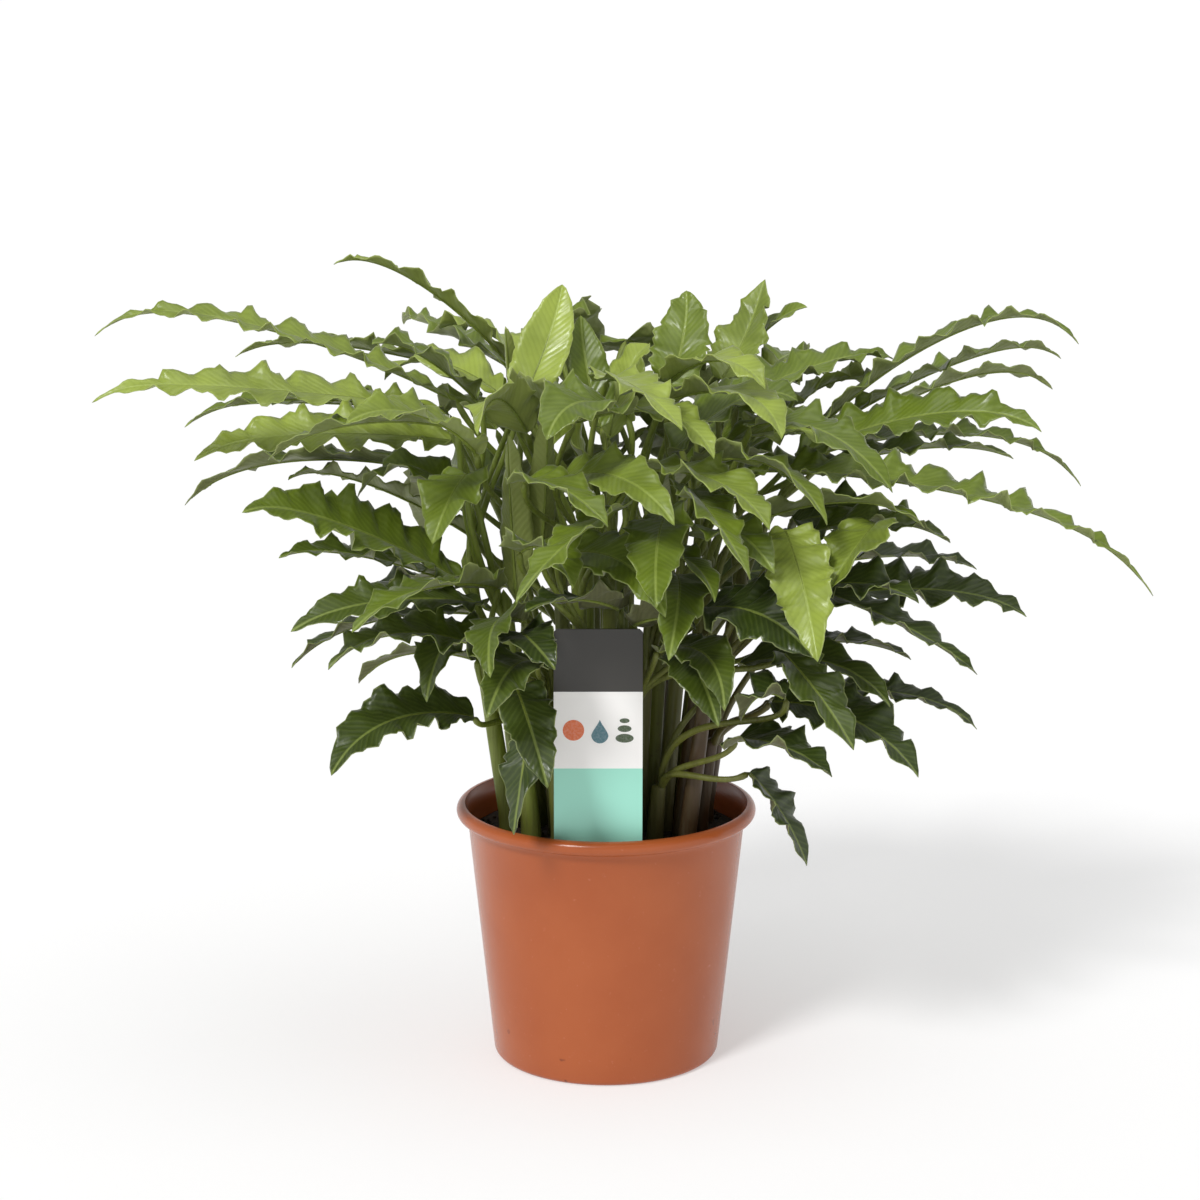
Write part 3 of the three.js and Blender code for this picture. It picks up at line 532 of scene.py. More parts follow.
def stalk_finish():
    material, tree, shader = new_material("stalk_green")
    coords = add_node(tree, "ShaderNodeTexCoord").outputs["Object"]
    height = add_node(tree, "ShaderNodeSeparateXYZ", {"Vector": coords}).outputs["Z"]
    tone = attribute(tree, "tone")
    green = blend(tree, tone, colour(126, 140, 52), colour(74, 54, 30))
    up = ramp(tree, height, 0.2, 0.4)
    green = blend(tree, sums(tree, "MULTIPLY", up, 0.6), green, colour(128, 146, 56))
    # painted shade: the stalks darken towards the soil, in the shade under the crown
    low = ramp(tree, height, 0.2, 0.15)
    green = blend(tree, sums(tree, "MULTIPLY", low, 0.55), green, colour(52, 40, 24))
    streaks = add_node(tree, "ShaderNodeMapping", {"Vector": coords, "Scale": (1.0, 1.0, 0.06)})
    lines = ramp(tree, noise(tree, 420, 3, streaks.outputs[0]), 0.35, 0.7)
    green = blend(tree, sums(tree, "MULTIPLY", lines, 0.3), green, colour(66, 62, 28))
    speck = ramp(tree, noise(tree, 240, 4), 0.62, 0.75)
    green = blend(tree, sums(tree, "MULTIPLY", speck, 0.35), green, colour(84, 60, 34))
    put(tree, shader.inputs["Base Color"], green)
    put(tree, shader.inputs["Roughness"], sums(tree, "MULTIPLY_ADD", lines, 0.2, 0.42))
    put(tree, shader.inputs["Normal"], bump(tree, lines, 0.35, 0.0005))
    return material


stalk_green = stalk_finish()
print("finishes:", stalk_green.name)

# %% [markdown]
# ## The shape of a leaf
# The blade is widest a third of the way along, folds up in a shallow V, and its edges rise and
# fall in waves, left and right in turn. Drawing it by hand or with a cloth brush would make every
# leaf different work. Instead a flat grid is made with an operator and each of its points is moved
# by the same formulas as in the CAD source, with many more rows, a rounder fold and a groove
# along the rib. Finer lobes and creases come on top, long leaves are drawn out into a slim tail,
# and the young ones in front are smoother. A Solidify modifier gives the thickness and the paler
# underside.

# %% Lines in space
BASE_POWER, TIP_POWER = 0.5, 0.84
WIDEST = BASE_POWER / (BASE_POWER + TIP_POWER)
WAVE_HEIGHT, SCALLOP, SCALLOP_MIDDLE = 0.09, 0.12, 0.64
UNEVEN, UNEVEN_TURN, UNEVEN_HEIGHT, UNEVEN_HEIGHT_TURN, FULL_RIPPLE = 0.22, 2.4, 0.35, 1.3, 1.3
RIB_LOW, RIB_HIGH, RIB_HIGH_BOW, LENGTH_STEPS = 0.3, 0.74, 1.5, 20
STALK_START, STALK_LEAVES_AT, STALK_LEAN, STALK_RISE = 2, 0.88, 0.12, 0.4
ARRIVE_REACH, ARRIVE_ALONG, ARRIVE_UP, BEND_LEFT = 0.3, 0.6, 0.9, 0.6
UP = vec(0, 0, 1)


def unit(rows):
    return rows / np.maximum(np.linalg.norm(rows, axis=-1, keepdims=True), 1e-12)


def curve(points, t):
    t = np.asarray(t, float)[:, None]
    u = 1 - t
    a, b, c, d = points
    return u**3 * a + 3 * u * u * t * b + 3 * u * t * t * c + t**3 * d


def slopes(points, t):
    t = np.asarray(t, float)[:, None]
    u = 1 - t
    a, b, c, d = points
    return unit(u * u * (b - a) + 2 * u * t * (c - b) + t * t * (d - c))


def rib_points(pose):
    neck, tip, chord = pose["neck"], pose["tip"], pose["tip"] - pose["neck"]
    aside = vec(chord[1], -chord[0], 0) * pose["sway"]
    low = neck + RIB_LOW * chord + pose["bow"] * UP + aside
    high = neck + RIB_HIGH * chord + RIB_HIGH_BOW * pose["bow"] * UP + aside
    return neck, low, high, tip


def stalk_points(pose, shoot):
    foot, top = shoot["foot"], shoot["top"]
    arrive = unit(ARRIVE_ALONG * slopes(rib_points(pose), [0])[0] + ARRIVE_UP * UP)
    start = foot + STALK_LEAVES_AT * (top - foot)
    away = unit((pose["neck"] - start) * vec(1, 1, 0))
    start = start + STALK_START * away
    reach = np.linalg.norm(pose["neck"] - start)
    leave = unit(unit(top - foot) + STALK_LEAN * away)
    low = start + STALK_RISE * reach * leave + pose["bend"]
    high = pose["neck"] - ARRIVE_REACH * reach * arrive + BEND_LEFT * pose["bend"]
    return start, low, high, pose["neck"]


def across_and_over(pose, slope, roll):
    heading = unit((pose["tip"] - pose["neck"]) * vec(1, 1, 0))
    flat = np.cross(heading, UP)
    side = unit(flat - slope * (slope @ flat)[:, None])
    over = np.cross(side, slope)
    roll = np.broadcast_to(roll, len(slope))[:, None]
    return side * np.cos(roll) + over * np.sin(roll), over * np.cos(roll) - side * np.sin(roll)


def line_length(points):
    places = curve(points, np.linspace(0, 1, LENGTH_STEPS + 1))
    return np.linalg.norm(np.diff(places, axis=0), axis=1).sum()


def blade_shape(s):
    s = np.clip(s, 0, 1)
    return (s / WIDEST) ** BASE_POWER * ((1 - s) / (1 - WIDEST)) ** TIP_POWER


def wave(turn):
    return np.cos(2 * np.pi * turn)


def smooth(x):
    x = np.clip(x, 0, 1)
    return x * x * (3 - 2 * x)


# %% A blade from a grid
ROWS_PER_WAVE, ROW_CROWDING = 10, 1.25
COLUMNS = 14
RIB_GROOVE, GROOVE_WIDTH = 0.5, 1.4
FOLD_CURVE, WAVE_CURVE, FOLD_SWEEP = 1.2, 1.25, 0.4
FINE_LOBES, LOBES_A_WAVE = 0.075, 3.1
CRINKLE, CRINKLES_A_WAVE = 0.5, 2.37
YOUNG_CALM, YOUNG_SPREAD = 0.35, 0.85
LEAF_PHASE, CRINKLE_PHASE, LOBE_PHASE = 2, 0.31, 0.7
TAIL_FROM, TAIL_SLIM, TAIL_LENGTH, TAIL_LEAST = 0.5, 0.62, 150, 0.6
TAIL_HOOK, HOOK_SCALE, HOOK_POWER = 0.035, 12, 5
BLADE_LAYERS = ("along", "across", "edge", "age")


def long_leaf(length):
    """0 for a short leaf and 1 for a long one, whose end is drawn out into a tail."""
    return float(smooth(length / TAIL_LENGTH - TAIL_LEAST))


def tail_hook(length, s):
    """How far the last stretch of the rib arches up before it drops to the tip."""
    return TAIL_HOOK * length * long_leaf(length) * HOOK_SCALE * s**HOOK_POWER * (1 - s)


def start_blades():
    bm = bmesh.new()
    for layer in BLADE_LAYERS:
        bm.verts.layers.float.new(layer)
    return bm


def add_blade(bm, pose, age):
    rib = rib_points(pose)
    length = line_length(rib)
    waves = max(2, math.floor(length / pose["wave_length"] + 0.5))
    made = bmesh.ops.create_grid(bm, x_segments=ROWS_PER_WAVE * waves, y_segments=COLUMNS, size=1)
    verts = made["verts"]
    flat = np.array([v.co for v in verts])
    s = ((flat[:, 0] + 1) / 2) ** ROW_CROWDING
    v = -flat[:, 1] * (0.5 + 0.5 * np.abs(flat[:, 1]))
    side, over = across_and_over(pose, slopes(rib, s), pose["roll"] + pose["twist"] * s)
    slim = 1 - long_leaf(length) * TAIL_SLIM * smooth((s - TAIL_FROM) / (1 - TAIL_FROM))
    number, share = pose["number"], np.abs(v)
    calm, spread = (YOUNG_CALM, YOUNG_SPREAD) if number < len(YOUNG) else (1, 1)
    half = 0.5 * pose["width"] * blade_shape(s) * slim * spread
    crests = np.arange(2 * waves + 1)
    inner = (crests > 0) & (crests < 2 * waves)
    uneven = UNEVEN * np.sin(UNEVEN_TURN * crests + number) * inner
    turn = np.interp(s, (crests + uneven) / (2 * waves), crests / 2)
    height = 1 + UNEVEN_HEIGHT * np.sin(2 * UNEVEN_HEIGHT_TURN * turn + LEAF_PHASE * number)
    ripple = calm * WAVE_HEIGHT * pose["width"] * height * np.minimum(1, FULL_RIPPLE * blade_shape(s))
    turn = turn + np.where(v < 0, 0.5, 0)
    swept = FOLD_SWEEP * (1 - share)
    crinkle_turn = CRINKLES_A_WAVE * turn + swept + CRINKLE_PHASE * number
    crinkle = CRINKLE * ripple * slim * wave(crinkle_turn)
    lift = half * math.sin(pose["fold"]) * share**FOLD_CURVE
    lift += ripple * wave(turn + swept) * share**WAVE_CURVE + crinkle * share
    groove = -RIB_GROOVE * np.exp(-((share * half / GROOVE_WIDTH) ** 2))
    lobes = SCALLOP * (np.abs(wave(turn)) - SCALLOP_MIDDLE)
    lobes = calm * (lobes + FINE_LOBES * wave(LOBES_A_WAVE * turn + LOBE_PHASE * number))
    out = v * half * math.cos(pose["fold"]) * (1 + lobes * share**2)
    places = curve(rib, s) + side * out[:, None] + over * (lift + groove)[:, None]
    places[:, 2] += tail_hook(length, s)
    layers = [bm.verts.layers.float[name] for name in BLADE_LAYERS]
    values = np.stack([s * length, v * half, share, np.full(len(v), age)], axis=1)
    for vert, place, row in zip(verts, places * MM, values):
        vert.co = place
        for layer, value in zip(layers, row):
            vert[layer] = value
    bmesh.ops.remove_doubles(bm, verts=verts, dist=0.01 * MM)


# %% [markdown]
# ## Stalks, ribs and sheaths
# Each blade sits on a thin stalk that comes out of the shoot's sheath, swells a little just under
# the blade, and runs on below it as the raised midrib. They are all round and tapered along a
# curve. A curve object with a bevel would do, but it can't swell where these do. Here a grid is
# rolled round the curve, with a radius for each row and closed ends.

# %% A tube from a grid
STALK_RADIUS, NECK_RADIUS = 2.5, 1.8
STALK_ROWS, STALK_SIDES = 26, 10
RIB_ROWS, RIB_SIDES = 34, 6
SHEATH_ROWS, SHEATH_SIDES = 26, 18
SHEATH_RADIUS, SHEATH_TOP_RADIUS, SHEATH_DEPTH, SHEATH_STUB = 6.2, 4.6, 14, 6
SLIMMER_STALK, NECK_SWELL, SWELL_AT, SWELL_LENGTH = 0.93, 0.45, 0.93, 0.045
RIB_END, RIB_SINK, RIB_RADIUS, RIB_TAPER = 0.97, 0.55, 1.25, 0.75
SLIMMER_SHEATH, SEAM_DEPTH, SEAM_WIDTH, SEAM_TURN = 0.95, 0.5, 0.3, 1.2
SEAM_STEP, SHEATH_UNEVEN = 2.1, 0.2


def add_tube(bm, centres, side, over, radii, count, tone):
    rows = len(centres)
    made = bmesh.ops.create_grid(bm, x_segments=rows - 1, y_segments=count, size=1)
    verts = made["verts"]
    flat = np.array([v.co for v in verts])
    row = np.rint((flat[:, 0] + 1) / 2 * (rows - 1)).astype(int)
    angle = -np.pi * flat[:, 1]
    spread = radii(row / (rows - 1), angle)
    spread[(row == 0) | (row == rows - 1)] = 0
    round_ = side[row] * np.cos(angle)[:, None] + over[row] * np.sin(angle)[:, None]
    places = centres[row] + round_ * spread[:, None]
    layer = bm.verts.layers.float["tone"]
    for vert, place in zip(verts, places * MM):
        vert.co = place
        vert[layer] = tone
    bmesh.ops.remove_doubles(bm, verts=verts, dist=0.002 * MM)


def add_stalk(bm, pose, shoot, tone):
    t = np.linspace(0, 1, STALK_ROWS)
    points = stalk_points(pose, shoot)
    roll = pose["roll"] * np.maximum(0, 2 * t - 1)
    side, over = across_and_over(pose, slopes(points, t), roll)

    def radius(t, angle):
        taper = SLIMMER_STALK * (STALK_RADIUS + (NECK_RADIUS - STALK_RADIUS) * t)
        return taper + NECK_SWELL * np.exp(-(((t - SWELL_AT) / SWELL_LENGTH) ** 2))

    add_tube(bm, curve(points, t), side, over, radius, STALK_SIDES, tone)


def add_rib(bm, pose, tone):
    s = np.linspace(0, RIB_END, RIB_ROWS)
    rib = rib_points(pose)
    side, over = across_and_over(pose, slopes(rib, s), pose["roll"] + pose["twist"] * s)
    centres = curve(rib, s) - over * (RIB_GROOVE + RIB_SINK)
    centres[:, 2] += tail_hook(line_length(rib), s)

    def radius(t, angle):
        return RIB_RADIUS * (1 - RIB_TAPER * t)

    add_tube(bm, centres, side, over, radius, RIB_SIDES, tone)


def add_sheath(bm, shoot, tone):
    t = np.linspace(0, 1, SHEATH_ROWS)
    foot, top = shoot["foot"] - vec(0, 0, SHEATH_DEPTH), shoot["top"]
    centres = foot + (top - foot) * t[:, None]
    low = shoot["foot"] + vec(0, 0, SHEATH_STUB)
    above = centres[:, 2] > low[2]
    centres[~above, :2] = foot[:2]
    along = (centres[above, 2:3] - low[2]) / (top[2] - low[2])
    centres[above] = low + (top - low) * along
    side, over = np.tile(vec(1, 0, 0), (SHEATH_ROWS, 1)), np.tile(vec(0, 1, 0), (SHEATH_ROWS, 1))
    seam = SEAM_STEP * shoot["members"][0]

    def radius(t, angle):
        taper = SLIMMER_SHEATH * (SHEATH_RADIUS + (SHEATH_TOP_RADIUS - SHEATH_RADIUS) * t)
        from_seam = (angle + seam + SEAM_TURN * t) % (2 * np.pi) - np.pi
        fold = -SEAM_DEPTH * np.exp(-((from_seam / SEAM_WIDTH) ** 2))
        return taper + fold + SHEATH_UNEVEN * np.sin(3 * angle + seam)

    add_tube(bm, centres, side, over, radius, SHEATH_SIDES, tone)


# %% Dress every shoot
BLADE_THICKNESS = 0.45
TONE_MIDDLE, TONE_BY_SIDE, TONE_BY_CHANCE, STALK_TONE, RIB_TONE = 0.45, 0.007, 0.6, 0.8, 0.1
HIGHEST, LOWEST = 470, 230
AGE_AND_SHADE_BY_HEIGHT, AGE_BY_CHANCE, AGE_LEAST = 0.75, 0.52, 0.08
# the ages of the leaves that stand out in front, listed one by one
AGES_SEEN = {0: 0.0, 1: 0.1, 2: 0.5, 3: 0.14, 4: 0.1, 6: 0.55, 14: 0.3, 15: 0.42, 16: 0.15, 17: 0.28}
AGES_SEEN |= {24: 0.18, 28: 0.14, 35: 0.4, 36: 0.28}


def leaf_age_and_shade(pose):
    """0 for a leaf that has just unrolled and 1 for an old one; lower leaves get more, partly real age and
    partly painted shade under the crown.
    """
    number = pose["number"]
    if number in AGES_SEEN:
        return AGES_SEEN[number]
    # the height term darkens the lower leaves: partly real age, partly painted shade under the crown
    height = 0.5 * (pose["neck"][2] + pose["tip"][2])
    chance = next(stream(number * 31 + 7))
    age = 0.2 + AGE_AND_SHADE_BY_HEIGHT * (HIGHEST - height) / (HIGHEST - LOWEST) + AGE_BY_CHANCE * (chance - 0.5)
    return float(np.clip(age, AGE_LEAST, 1))


triangles = 0
for shoot in shoots:
    blades = start_blades()
    stems = bmesh.new()
    stems.verts.layers.float.new("tone")
    chance = next(stream(int(shoot["members"][0]) * 97 + 3))
    tone = TONE_MIDDLE + TONE_BY_SIDE * shoot["foot"][0] + TONE_BY_CHANCE * (chance - 0.5)
    tone = float(np.clip(tone, 0, 1))
    add_sheath(stems, shoot, tone)
    for pose in shoot["leaves"]:
        add_blade(blades, pose, leaf_age_and_shade(pose))
        add_stalk(stems, pose, shoot, STALK_TONE * tone)
        add_rib(stems, pose, RIB_TONE)
    triangles += 4 * len(blades.faces) + 2 * len(stems.faces)
    node = shoot["node"]
    leafy = finish_piece(node + "_blades", blades, [blade_top, blade_under], node)
    solidify(leafy, BLADE_THICKNESS * MM, under=1)
    finish_piece(node + "_stems", stems, [stalk_green], node)
print("shoots dressed:", len(shoots), "with about", triangles, "triangles")

# %% [markdown]
# ## The pot
# A moulded nursery pot: a tapered wall with a rolled rim, a rounded foot and six drain holes.
# It could be a cylinder with loops cut in, but its section is what the mould has,
# so the section is drawn once and turned about the axis with the spin operator.
# The holes are then drilled through the floor by a boolean cut, and the drills are thrown away.

# %% Pot
POT_HEIGHT, RIM_RADIUS, RIM_LIP_RADIUS, RIM_BEAD = 165, 95, 88.5, 9
WALL_TOP_RADIUS, BASE_RADIUS, BASE_CORNER, POT_WALL = 87.6, 72, 4, 1.6
DRAIN_HOLES, DRAIN_RADIUS, DRAIN_CIRCLE, DRAIN_TURN = 6, 5, 52, 0.5
DRAIN_SIDES, DRILL_LENGTH, DRILL_TWIST = 32, 20, 4
FOOT_RING, FLOOR_LIFT, LIP_DROP = 12, 0.8, 8
POT_STEPS = 144


def arc(x, z, radius, start, end, steps):
    angles = np.radians(np.linspace(start, end, steps + 1))
    return [(x + radius * math.cos(a), z + radius * math.sin(a)) for a in angles]


def spin_section(bm, section, steps):
    verts = [bm.verts.new((r * MM, 0, z * MM)) for r, z in section]
    edges = [bm.edges.new(pair) for pair in zip(verts, verts[1:])]
    bmesh.ops.spin(
        bm,
        geom=verts + edges,
        cent=(0, 0, 0),
        axis=(0, 0, 1),
        angle=2 * math.pi,
        steps=steps,
        use_merge=True,
    )
    bmesh.ops.remove_doubles(bm, verts=bm.verts, dist=0.001 * MM)
    bmesh.ops.recalc_face_normals(bm, faces=bm.faces)


def pot_section():
    lip = POT_HEIGHT - RIM_BEAD
    inner = WALL_TOP_RADIUS - POT_WALL
    bead = RIM_BEAD / 2
    ring, wall_foot = BASE_RADIUS - FOOT_RING, BASE_RADIUS - POT_WALL
    section = [(0, FLOOR_LIFT), (ring - 2, FLOOR_LIFT), (ring, 0)]
    section += arc(BASE_RADIUS - BASE_CORNER, BASE_CORNER, BASE_CORNER, -90, -4, 6)
    for t in (0.33, 0.66):
        wall = BASE_RADIUS + (WALL_TOP_RADIUS - BASE_RADIUS) * t
        section.append((wall, BASE_CORNER + (lip - LIP_DROP) * t))
    section += [(WALL_TOP_RADIUS, lip - LIP_DROP / 2), (WALL_TOP_RADIUS + 1.2, lip - 1.6)]
    section.append((RIM_RADIUS - bead - 1, lip - 0.4))
    section += arc(RIM_RADIUS - bead, lip + bead, bead, -80, 100, 12)
    section += [(RIM_LIP_RADIUS + 1.2, POT_HEIGHT - 0.6), (RIM_LIP_RADIUS - 0.4, POT_HEIGHT - 2.4)]
    section += [(inner + 0.4, lip - 3), (inner, lip - 6), (wall_foot, BASE_CORNER + POT_WALL)]
    section += [(wall_foot - 3, BASE_CORNER + 0.4), (ring, BASE_CORNER), (0, BASE_CORNER)]
    return section


def pot_finish():
    material, tree, shader = new_material("pot_terracotta_plastic")
    coords = add_node(tree, "ShaderNodeTexCoord").outputs["Object"]
    height = add_node(tree, "ShaderNodeSeparateXYZ", {"Vector": coords}).outputs["Z"]
    clouds = ramp(tree, noise(tree, 14, 4), 0.3, 0.75)
    body = blend(tree, clouds, colour(170, 88, 45), colour(163, 81, 39))
    foot = ramp(tree, height, 0.02, 0.0)
    body = blend(tree, sums(tree, "MULTIPLY", foot, 0.2), body, colour(150, 74, 40))
    dust = ramp(tree, noise(tree, 320, 3), 0.66, 0.78)
    body = blend(tree, sums(tree, "MULTIPLY", dust, 0.25), body, colour(206, 138, 108))
    specks = ramp(tree, noise(tree, 110, 1), 0.7, 0.74)
    specks = sums(tree, "MULTIPLY", specks, ramp(tree, height, 0.045, 0.01))
    body = blend(tree, sums(tree, "MULTIPLY", specks, 0.7), body, colour(96, 44, 26))
    fine = noise(tree, 1500, 2)
    put(tree, shader.inputs["Base Color"], body)
    put(tree, shader.inputs["Roughness"], sums(tree, "MULTIPLY_ADD", fine, 0.1, 0.2))
    shader.inputs["Specular IOR Level"].default_value = 0.4
    flow = add_node(tree, "ShaderNodeMapping", {"Vector": coords, "Scale": (1.0, 1.0, 0.12)})
    waves = noise(tree, 60, 2, flow.outputs[0])
    normal = bump(tree, fine, 0.12, 0.0003)
    put(tree, shader.inputs["Normal"], bump(tree, waves, 0.12, 0.001, normal))
    return material


def cut_drain_holes(piece):
    """Drill the holes through the floor, keep the cut mesh and throw the drills away."""
    bm = bmesh.new()
    size = {"radius1": DRAIN_RADIUS * MM, "radius2": DRAIN_RADIUS * MM, "depth": DRILL_LENGTH * MM}
    for i in range(DRAIN_HOLES):
        angle = 2 * math.pi * (i + DRAIN_TURN) / DRAIN_HOLES
        place = Matrix.Rotation(angle, 4, "Z") @ Matrix.Translation((DRAIN_CIRCLE * MM, 0, 0))
        turned = place @ Matrix.Rotation(math.radians(DRILL_TWIST), 4, "Z")
        bmesh.ops.create_cone(bm, cap_ends=True, segments=DRAIN_SIDES, matrix=turned, **size)
    mesh = bpy.data.meshes.new("drills")
    bm.to_mesh(mesh)
    bm.free()
    drills = bpy.data.objects.new("drills", mesh)
    bpy.context.scene.collection.objects.link(drills)
    cut = piece.modifiers.new("drain_holes", "BOOLEAN")
    cut.object, cut.solver = drills, "EXACT"
    cut_piece = piece.evaluated_get(bpy.context.evaluated_depsgraph_get())
    drilled = bpy.data.meshes.new_from_object(cut_piece)
    drilled.set_sharp_from_angle(angle=math.radians(80))
    piece.modifiers.remove(cut)
    piece.data = drilled
    bpy.data.objects.remove(drills)


bm = bmesh.new()
spin_section(bm, pot_section(), POT_STEPS)
pot = finish_piece("nursery_pot", bm, [pot_finish()], "pot")
cut_drain_holes(pot)
print("pot triangles:", sum(len(face.vertices) - 2 for face in pot.data.polygons))

# %% [markdown]
# ## The soil
# Dark potting soil, low in the pot, with crumbs and bits of fibre on top. A flat disc with a
# bump would show its flatness at the rim, so the top is a fine disc that is really uneven,
# with small rough crumbs strewn over it by a seeded draw.

# %% Soil
SOIL_CROWN = 4
SOIL_SLOPE = (WALL_TOP_RADIUS - BASE_RADIUS) / (POT_HEIGHT - RIM_BEAD - 4 - BASE_CORNER)
SOIL_GAP, SOIL_DROP = 0.6, 0.9
CRUMBS, CRUMB_CIRCLE, CRUMB_LEAST, CRUMB_MORE = 420, 82, 0.8, 1.9


def soil_edge(z):
    return BASE_RADIUS - POT_WALL + SOIL_SLOPE * (z - BASE_CORNER - POT_WALL) - SOIL_GAP


def soil_finish():
    material, tree, shader = new_material("potting_soil")
    grain = noise(tree, 260, 6, roughness=0.7)
    lumps = noise(tree, 70, 4)
    body = blend(tree, ramp(tree, grain, 0.35, 0.65), colour(30, 21, 16), colour(62, 45, 34))
    body = blend(tree, ramp(tree, lumps, 0.45, 0.7), body, colour(24, 17, 13))
    fibre = ramp(tree, noise(tree, 520, 2), 0.68, 0.74)
    body = blend(tree, sums(tree, "MULTIPLY", fibre, 0.5), body, colour(112, 86, 60))
    put(tree, shader.inputs["Base Color"], body)
    shader.inputs["Roughness"].default_value = 0.92
    put(tree, shader.inputs["Normal"], bump(tree, grain, 0.8, 0.0015))
    return material


def soil_top(x, y):
    out = np.hypot(x, y) / soil_edge(SOIL_LEVEL - SOIL_CROWN)
    level = SOIL_LEVEL - SOIL_CROWN * np.clip(out, 0, 1) ** 3
    lumps = 0.5 * np.sin(0.31 * x + 1.3) * np.cos(0.27 * y) + 0.35 * np.sin(0.83 * x - 0.71 * y)
    return level - SOIL_DROP + lumps * 0.8


bm = bmesh.new()
rim = soil_edge(SOIL_LEVEL - SOIL_CROWN)
section = [(0, BASE_CORNER + 0.4), (soil_edge(6) - 1, 6), (rim, SOIL_LEVEL - SOIL_CROWN - 1)]
section += [(rim * t, SOIL_LEVEL) for t in np.linspace(1, 0, 30)]
spin_section(bm, section, 96)
for vert in bm.verts:
    x, y, z = vert.co / MM
    if z > SOIL_LEVEL - 1:
        vert.co.z = float(soil_top(x, y)) * MM
soil_look = soil_finish()
finish_piece("soil_bed", bm, [soil_look], "soil")

bm = bmesh.new()
numbers = stream(5)
for i in range(CRUMBS):
    out = CRUMB_CIRCLE * math.sqrt(next(numbers))
    angle = 2 * math.pi * next(numbers)
    x, y = out * math.cos(angle), out * math.sin(angle)
    size = CRUMB_LEAST + CRUMB_MORE * next(numbers) ** 2
    made = bmesh.ops.create_icosphere(bm, subdivisions=1, radius=size * MM)
    centre = vec(x, y, float(soil_top(x, y)) + 0.2 * size)
    for vert in made["verts"]:
        stretch = 0.65 + 0.7 * next(numbers)
        vert.co = Vector(centre * MM) + vert.co * stretch
finish_piece("soil_crumbs", bm, [soil_look], None, smooth=False)
print("crumbs:", CRUMBS)

# %% [markdown]
# ## The plant label
# A thin printed plastic plate with a dark, a white and a mint band. The real one could be a
# picture on a plane; here its bands come from heights in the finish, and the white band carries
# three plain signs for light, water and warmth, each a thin raised print.

# %% Label
LABEL_WIDTH, LABEL_HEIGHT, LABEL_POINT, LABEL_THICK = 54, 144, 30, 0.9
LABEL_FRONT, LABEL_CORNER, LABEL_TIP, LABEL_SHOULDER = -75, 2, 4, 6
BAND_DARK, BAND_MINT = 255, 207


def label_finish():
    material, tree, shader = new_material("label_print")
    coords = add_node(tree, "ShaderNodeTexCoord").outputs["Object"]
    height = add_node(tree, "ShaderNodeSeparateXYZ", {"Vector": coords}).outputs["Z"]
    dark = ramp(tree, height, (BAND_DARK - 0.15) * MM, (BAND_DARK + 0.15) * MM)
    mint = ramp(tree, height, (BAND_MINT + 0.15) * MM, (BAND_MINT - 0.15) * MM)
    body = blend(tree, dark, colour(250, 248, 246), colour(56, 54, 50))
    body = blend(tree, mint, body, colour(160, 226, 206))
    put(tree, shader.inputs["Base Color"], body)
    fine = noise(tree, 900, 2)
    put(tree, shader.inputs["Roughness"], sums(tree, "MULTIPLY_ADD", fine, 0.1, 0.28))
    put(tree, shader.inputs["Normal"], bump(tree, fine, 0.05, 0.0002))
    return material


bm = bmesh.new()
half = LABEL_WIDTH / 2
outline = [(-LABEL_TIP, -LABEL_POINT), (LABEL_TIP, -LABEL_POINT)]
outline += [(half, -LABEL_SHOULDER), (half, LABEL_HEIGHT - LABEL_CORNER)]
outline += [(half - LABEL_CORNER, LABEL_HEIGHT), (LABEL_CORNER - half, LABEL_HEIGHT)]
outline += [(-half, LABEL_HEIGHT - LABEL_CORNER), (-half, -LABEL_SHOULDER)]
front = LABEL_FRONT - LABEL_THICK / 2
corners = [bm.verts.new(((x - LABEL_LEFT) * MM, front * MM, (SOIL_LEVEL + z) * MM)) for x, z in outline]
face = bm.faces.new(corners)
thick = bmesh.ops.extrude_face_region(bm, geom=[face])
moved = [g for g in thick["geom"] if isinstance(g, bmesh.types.BMVert)]
bmesh.ops.translate(bm, verts=moved, vec=(0, LABEL_THICK * MM, 0))
bmesh.ops.recalc_face_normals(bm, faces=bm.faces)
bmesh.ops.bevel(bm, geom=bm.edges[:], offset=0.2 * MM, affect="EDGES", segments=2, profile=0.5, material=-1)
finish_piece("label_plate", bm, [label_finish()], "label", smooth=False)
print("label bands from mm:", BAND_MINT, BAND_DARK)

# %% Signs on the label
SIGN_THICK = 0.12
SIGN_FRONT = front - SIGN_THICK


def print_finish(name, ink):
    material, tree, shader = new_material(name)
    speckle = ramp(tree, noise(tree, 700, 3), 0.3, 0.8)
    worn = blend(tree, sums(tree, "MULTIPLY", speckle, 0.12), ink, (1, 1, 1, 1))
    put(tree, shader.inputs["Base Color"], worn)
    shader.inputs["Roughness"].default_value = 0.35
    return material


def add_disc(bm, x, z, radius, squash=1.0, point=0.0):
    made = bmesh.ops.create_circle(bm, cap_ends=True, segments=28, radius=radius)
    for vert in made["verts"]:
        a, b = vert.co.x, vert.co.y * squash
        if b > 0:
            a *= 1 - point * (b / radius) ** 1.2
            b *= 1 + 0.9 * point
        vert.co = Vector((x - LABEL_LEFT + a, SIGN_FRONT, z + b)) * MM


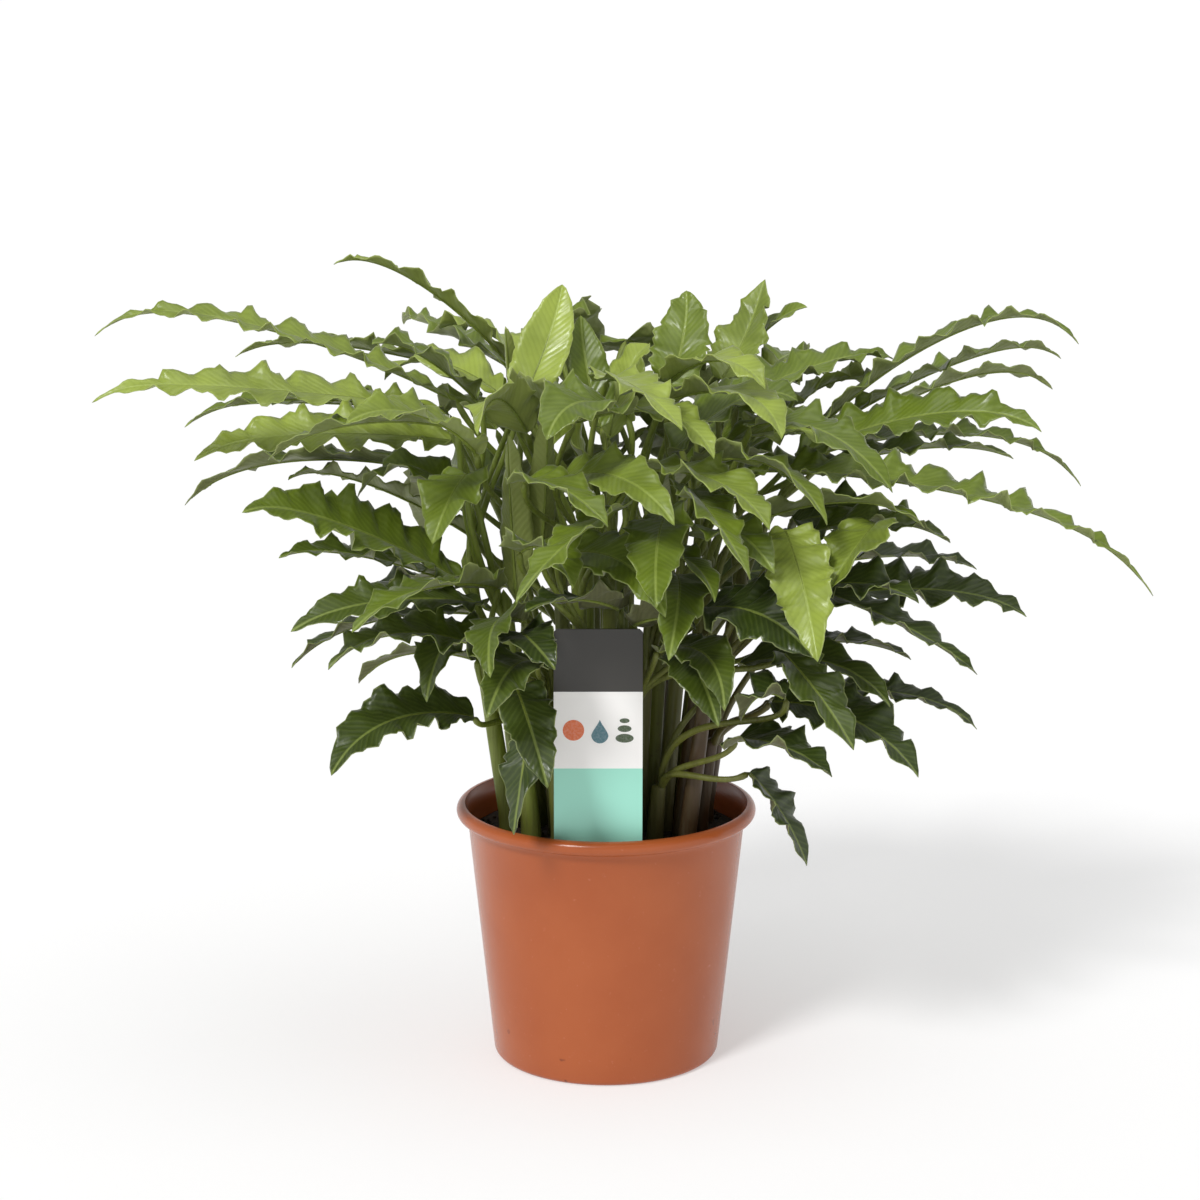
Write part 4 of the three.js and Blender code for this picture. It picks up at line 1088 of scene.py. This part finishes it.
warm_discs = [(16, 226, 5.5, 0.5, 0.0), (16, 232, 4.2, 0.5, 0.0), (16, 237, 3, 0.5, 0.0)]
signs = {
    "sign_light": (colour(222, 108, 54), [(-15, 231, 6.5, 1.0, 0.0)]),
    "sign_water": (colour(70, 116, 128), [(1, 228, 5.2, 1.0, 0.95)]),
    "sign_warmth": (colour(58, 78, 44), warm_discs),
}
for name, (ink, discs) in signs.items():
    bm = bmesh.new()
    for disc in discs:
        add_disc(bm, *disc)
    bmesh.ops.recalc_face_normals(bm, faces=bm.faces)
    for sign_face in bm.faces:
        if sign_face.normal.y > 0:
            sign_face.normal_flip()
    sign = finish_piece(name, bm, [print_finish(name + "_ink", ink)], None, smooth=False)
    solidify(sign, SIGN_THICK * MM)
print("signs:", sorted(signs))

# %% [markdown]
# ## Floor, light and camera
# The plant stands on a plain pale floor in soft studio light. A broad key light comes from the
# upper left and a broader one from straight above. Large lamps close by would do it too, but their
# edges show in the glossy pot. So they are suns with a wide angle, under a sky that is bright near
# the horizon. The floor glows a little, as a lit sweep does, so that the shadow stays faint.
# The camera is a long lens, a little above the pot, level with the middle of the crown.

# %% Floor
bm = bmesh.new()
bmesh.ops.create_grid(bm, x_segments=2, y_segments=2, size=60)
mesh = bpy.data.meshes.new("studio_floor")
bm.to_mesh(mesh)
bm.free()
floor = bpy.data.objects.new("studio_floor", mesh)
bpy.context.scene.collection.objects.link(floor)
floor_look, tree, shader = new_material("pale_floor")
shader.inputs["Base Color"].default_value = (0.6, 0.6, 0.6, 1)
shader.inputs["Roughness"].default_value = 0.95
shader.inputs["Specular IOR Level"].default_value = 0.0
shader.inputs["Emission Color"].default_value = (1, 1, 1, 1)
shader.inputs["Emission Strength"].default_value = 0.4
mesh.materials.append(floor_look)
print("floor:", floor.name)

# %% Lamps and sky
AIM = vec(-3.9, 0, 295.4) * MM


def sun(name, place, angle, strength):
    data = bpy.data.lights.new(name, "SUN")
    data.angle = math.radians(angle)
    data.energy = strength
    made = bpy.data.objects.new(name, data)
    made.location = place
    made.rotation_mode = "QUATERNION"
    made.rotation_quaternion = (Vector(AIM) - Vector(place)).to_track_quat("-Z", "Y")
    bpy.context.scene.collection.objects.link(made)


sun("key_light", (-0.98, -1.55, 2.1), 14, 1.9)
sun("top_light", (0.4, -0.3, 2.2), 40, 0.5)
world = bpy.data.worlds.new("studio")
bpy.context.scene.world = world
world.use_nodes = True
sky = world.node_tree
direction = add_node(sky, "ShaderNodeTexCoord").outputs["Generated"]
height = add_node(sky, "ShaderNodeSeparateXYZ", {"Vector": direction}).outputs["Z"]
put(sky, sky.nodes["Background"].inputs["Strength"], ramp(sky, height, 0.08, 0.4, 1.0, 0.42))
sky.nodes["Background"].inputs["Color"].default_value = (1, 1, 1, 1)
bpy.context.scene.view_settings.view_transform = "Standard"
print("lamps: key_light, top_light")

# %% Camera
LENS, SENSOR = 90, 36
PITCH = math.radians(12.3)
DISTANCE = 1.879
camera_data = bpy.data.cameras.new("camera")
camera_data.lens = LENS
camera_data.sensor_width = SENSOR
camera = bpy.data.objects.new("camera", camera_data)
camera.location = Vector(AIM) + Vector((0, -math.cos(PITCH), math.sin(PITCH))) * DISTANCE
camera.rotation_euler = (math.pi / 2 - PITCH, 0, 0)
bpy.context.scene.collection.objects.link(camera)
bpy.context.scene.camera = camera
print("lens in mm:", LENS)
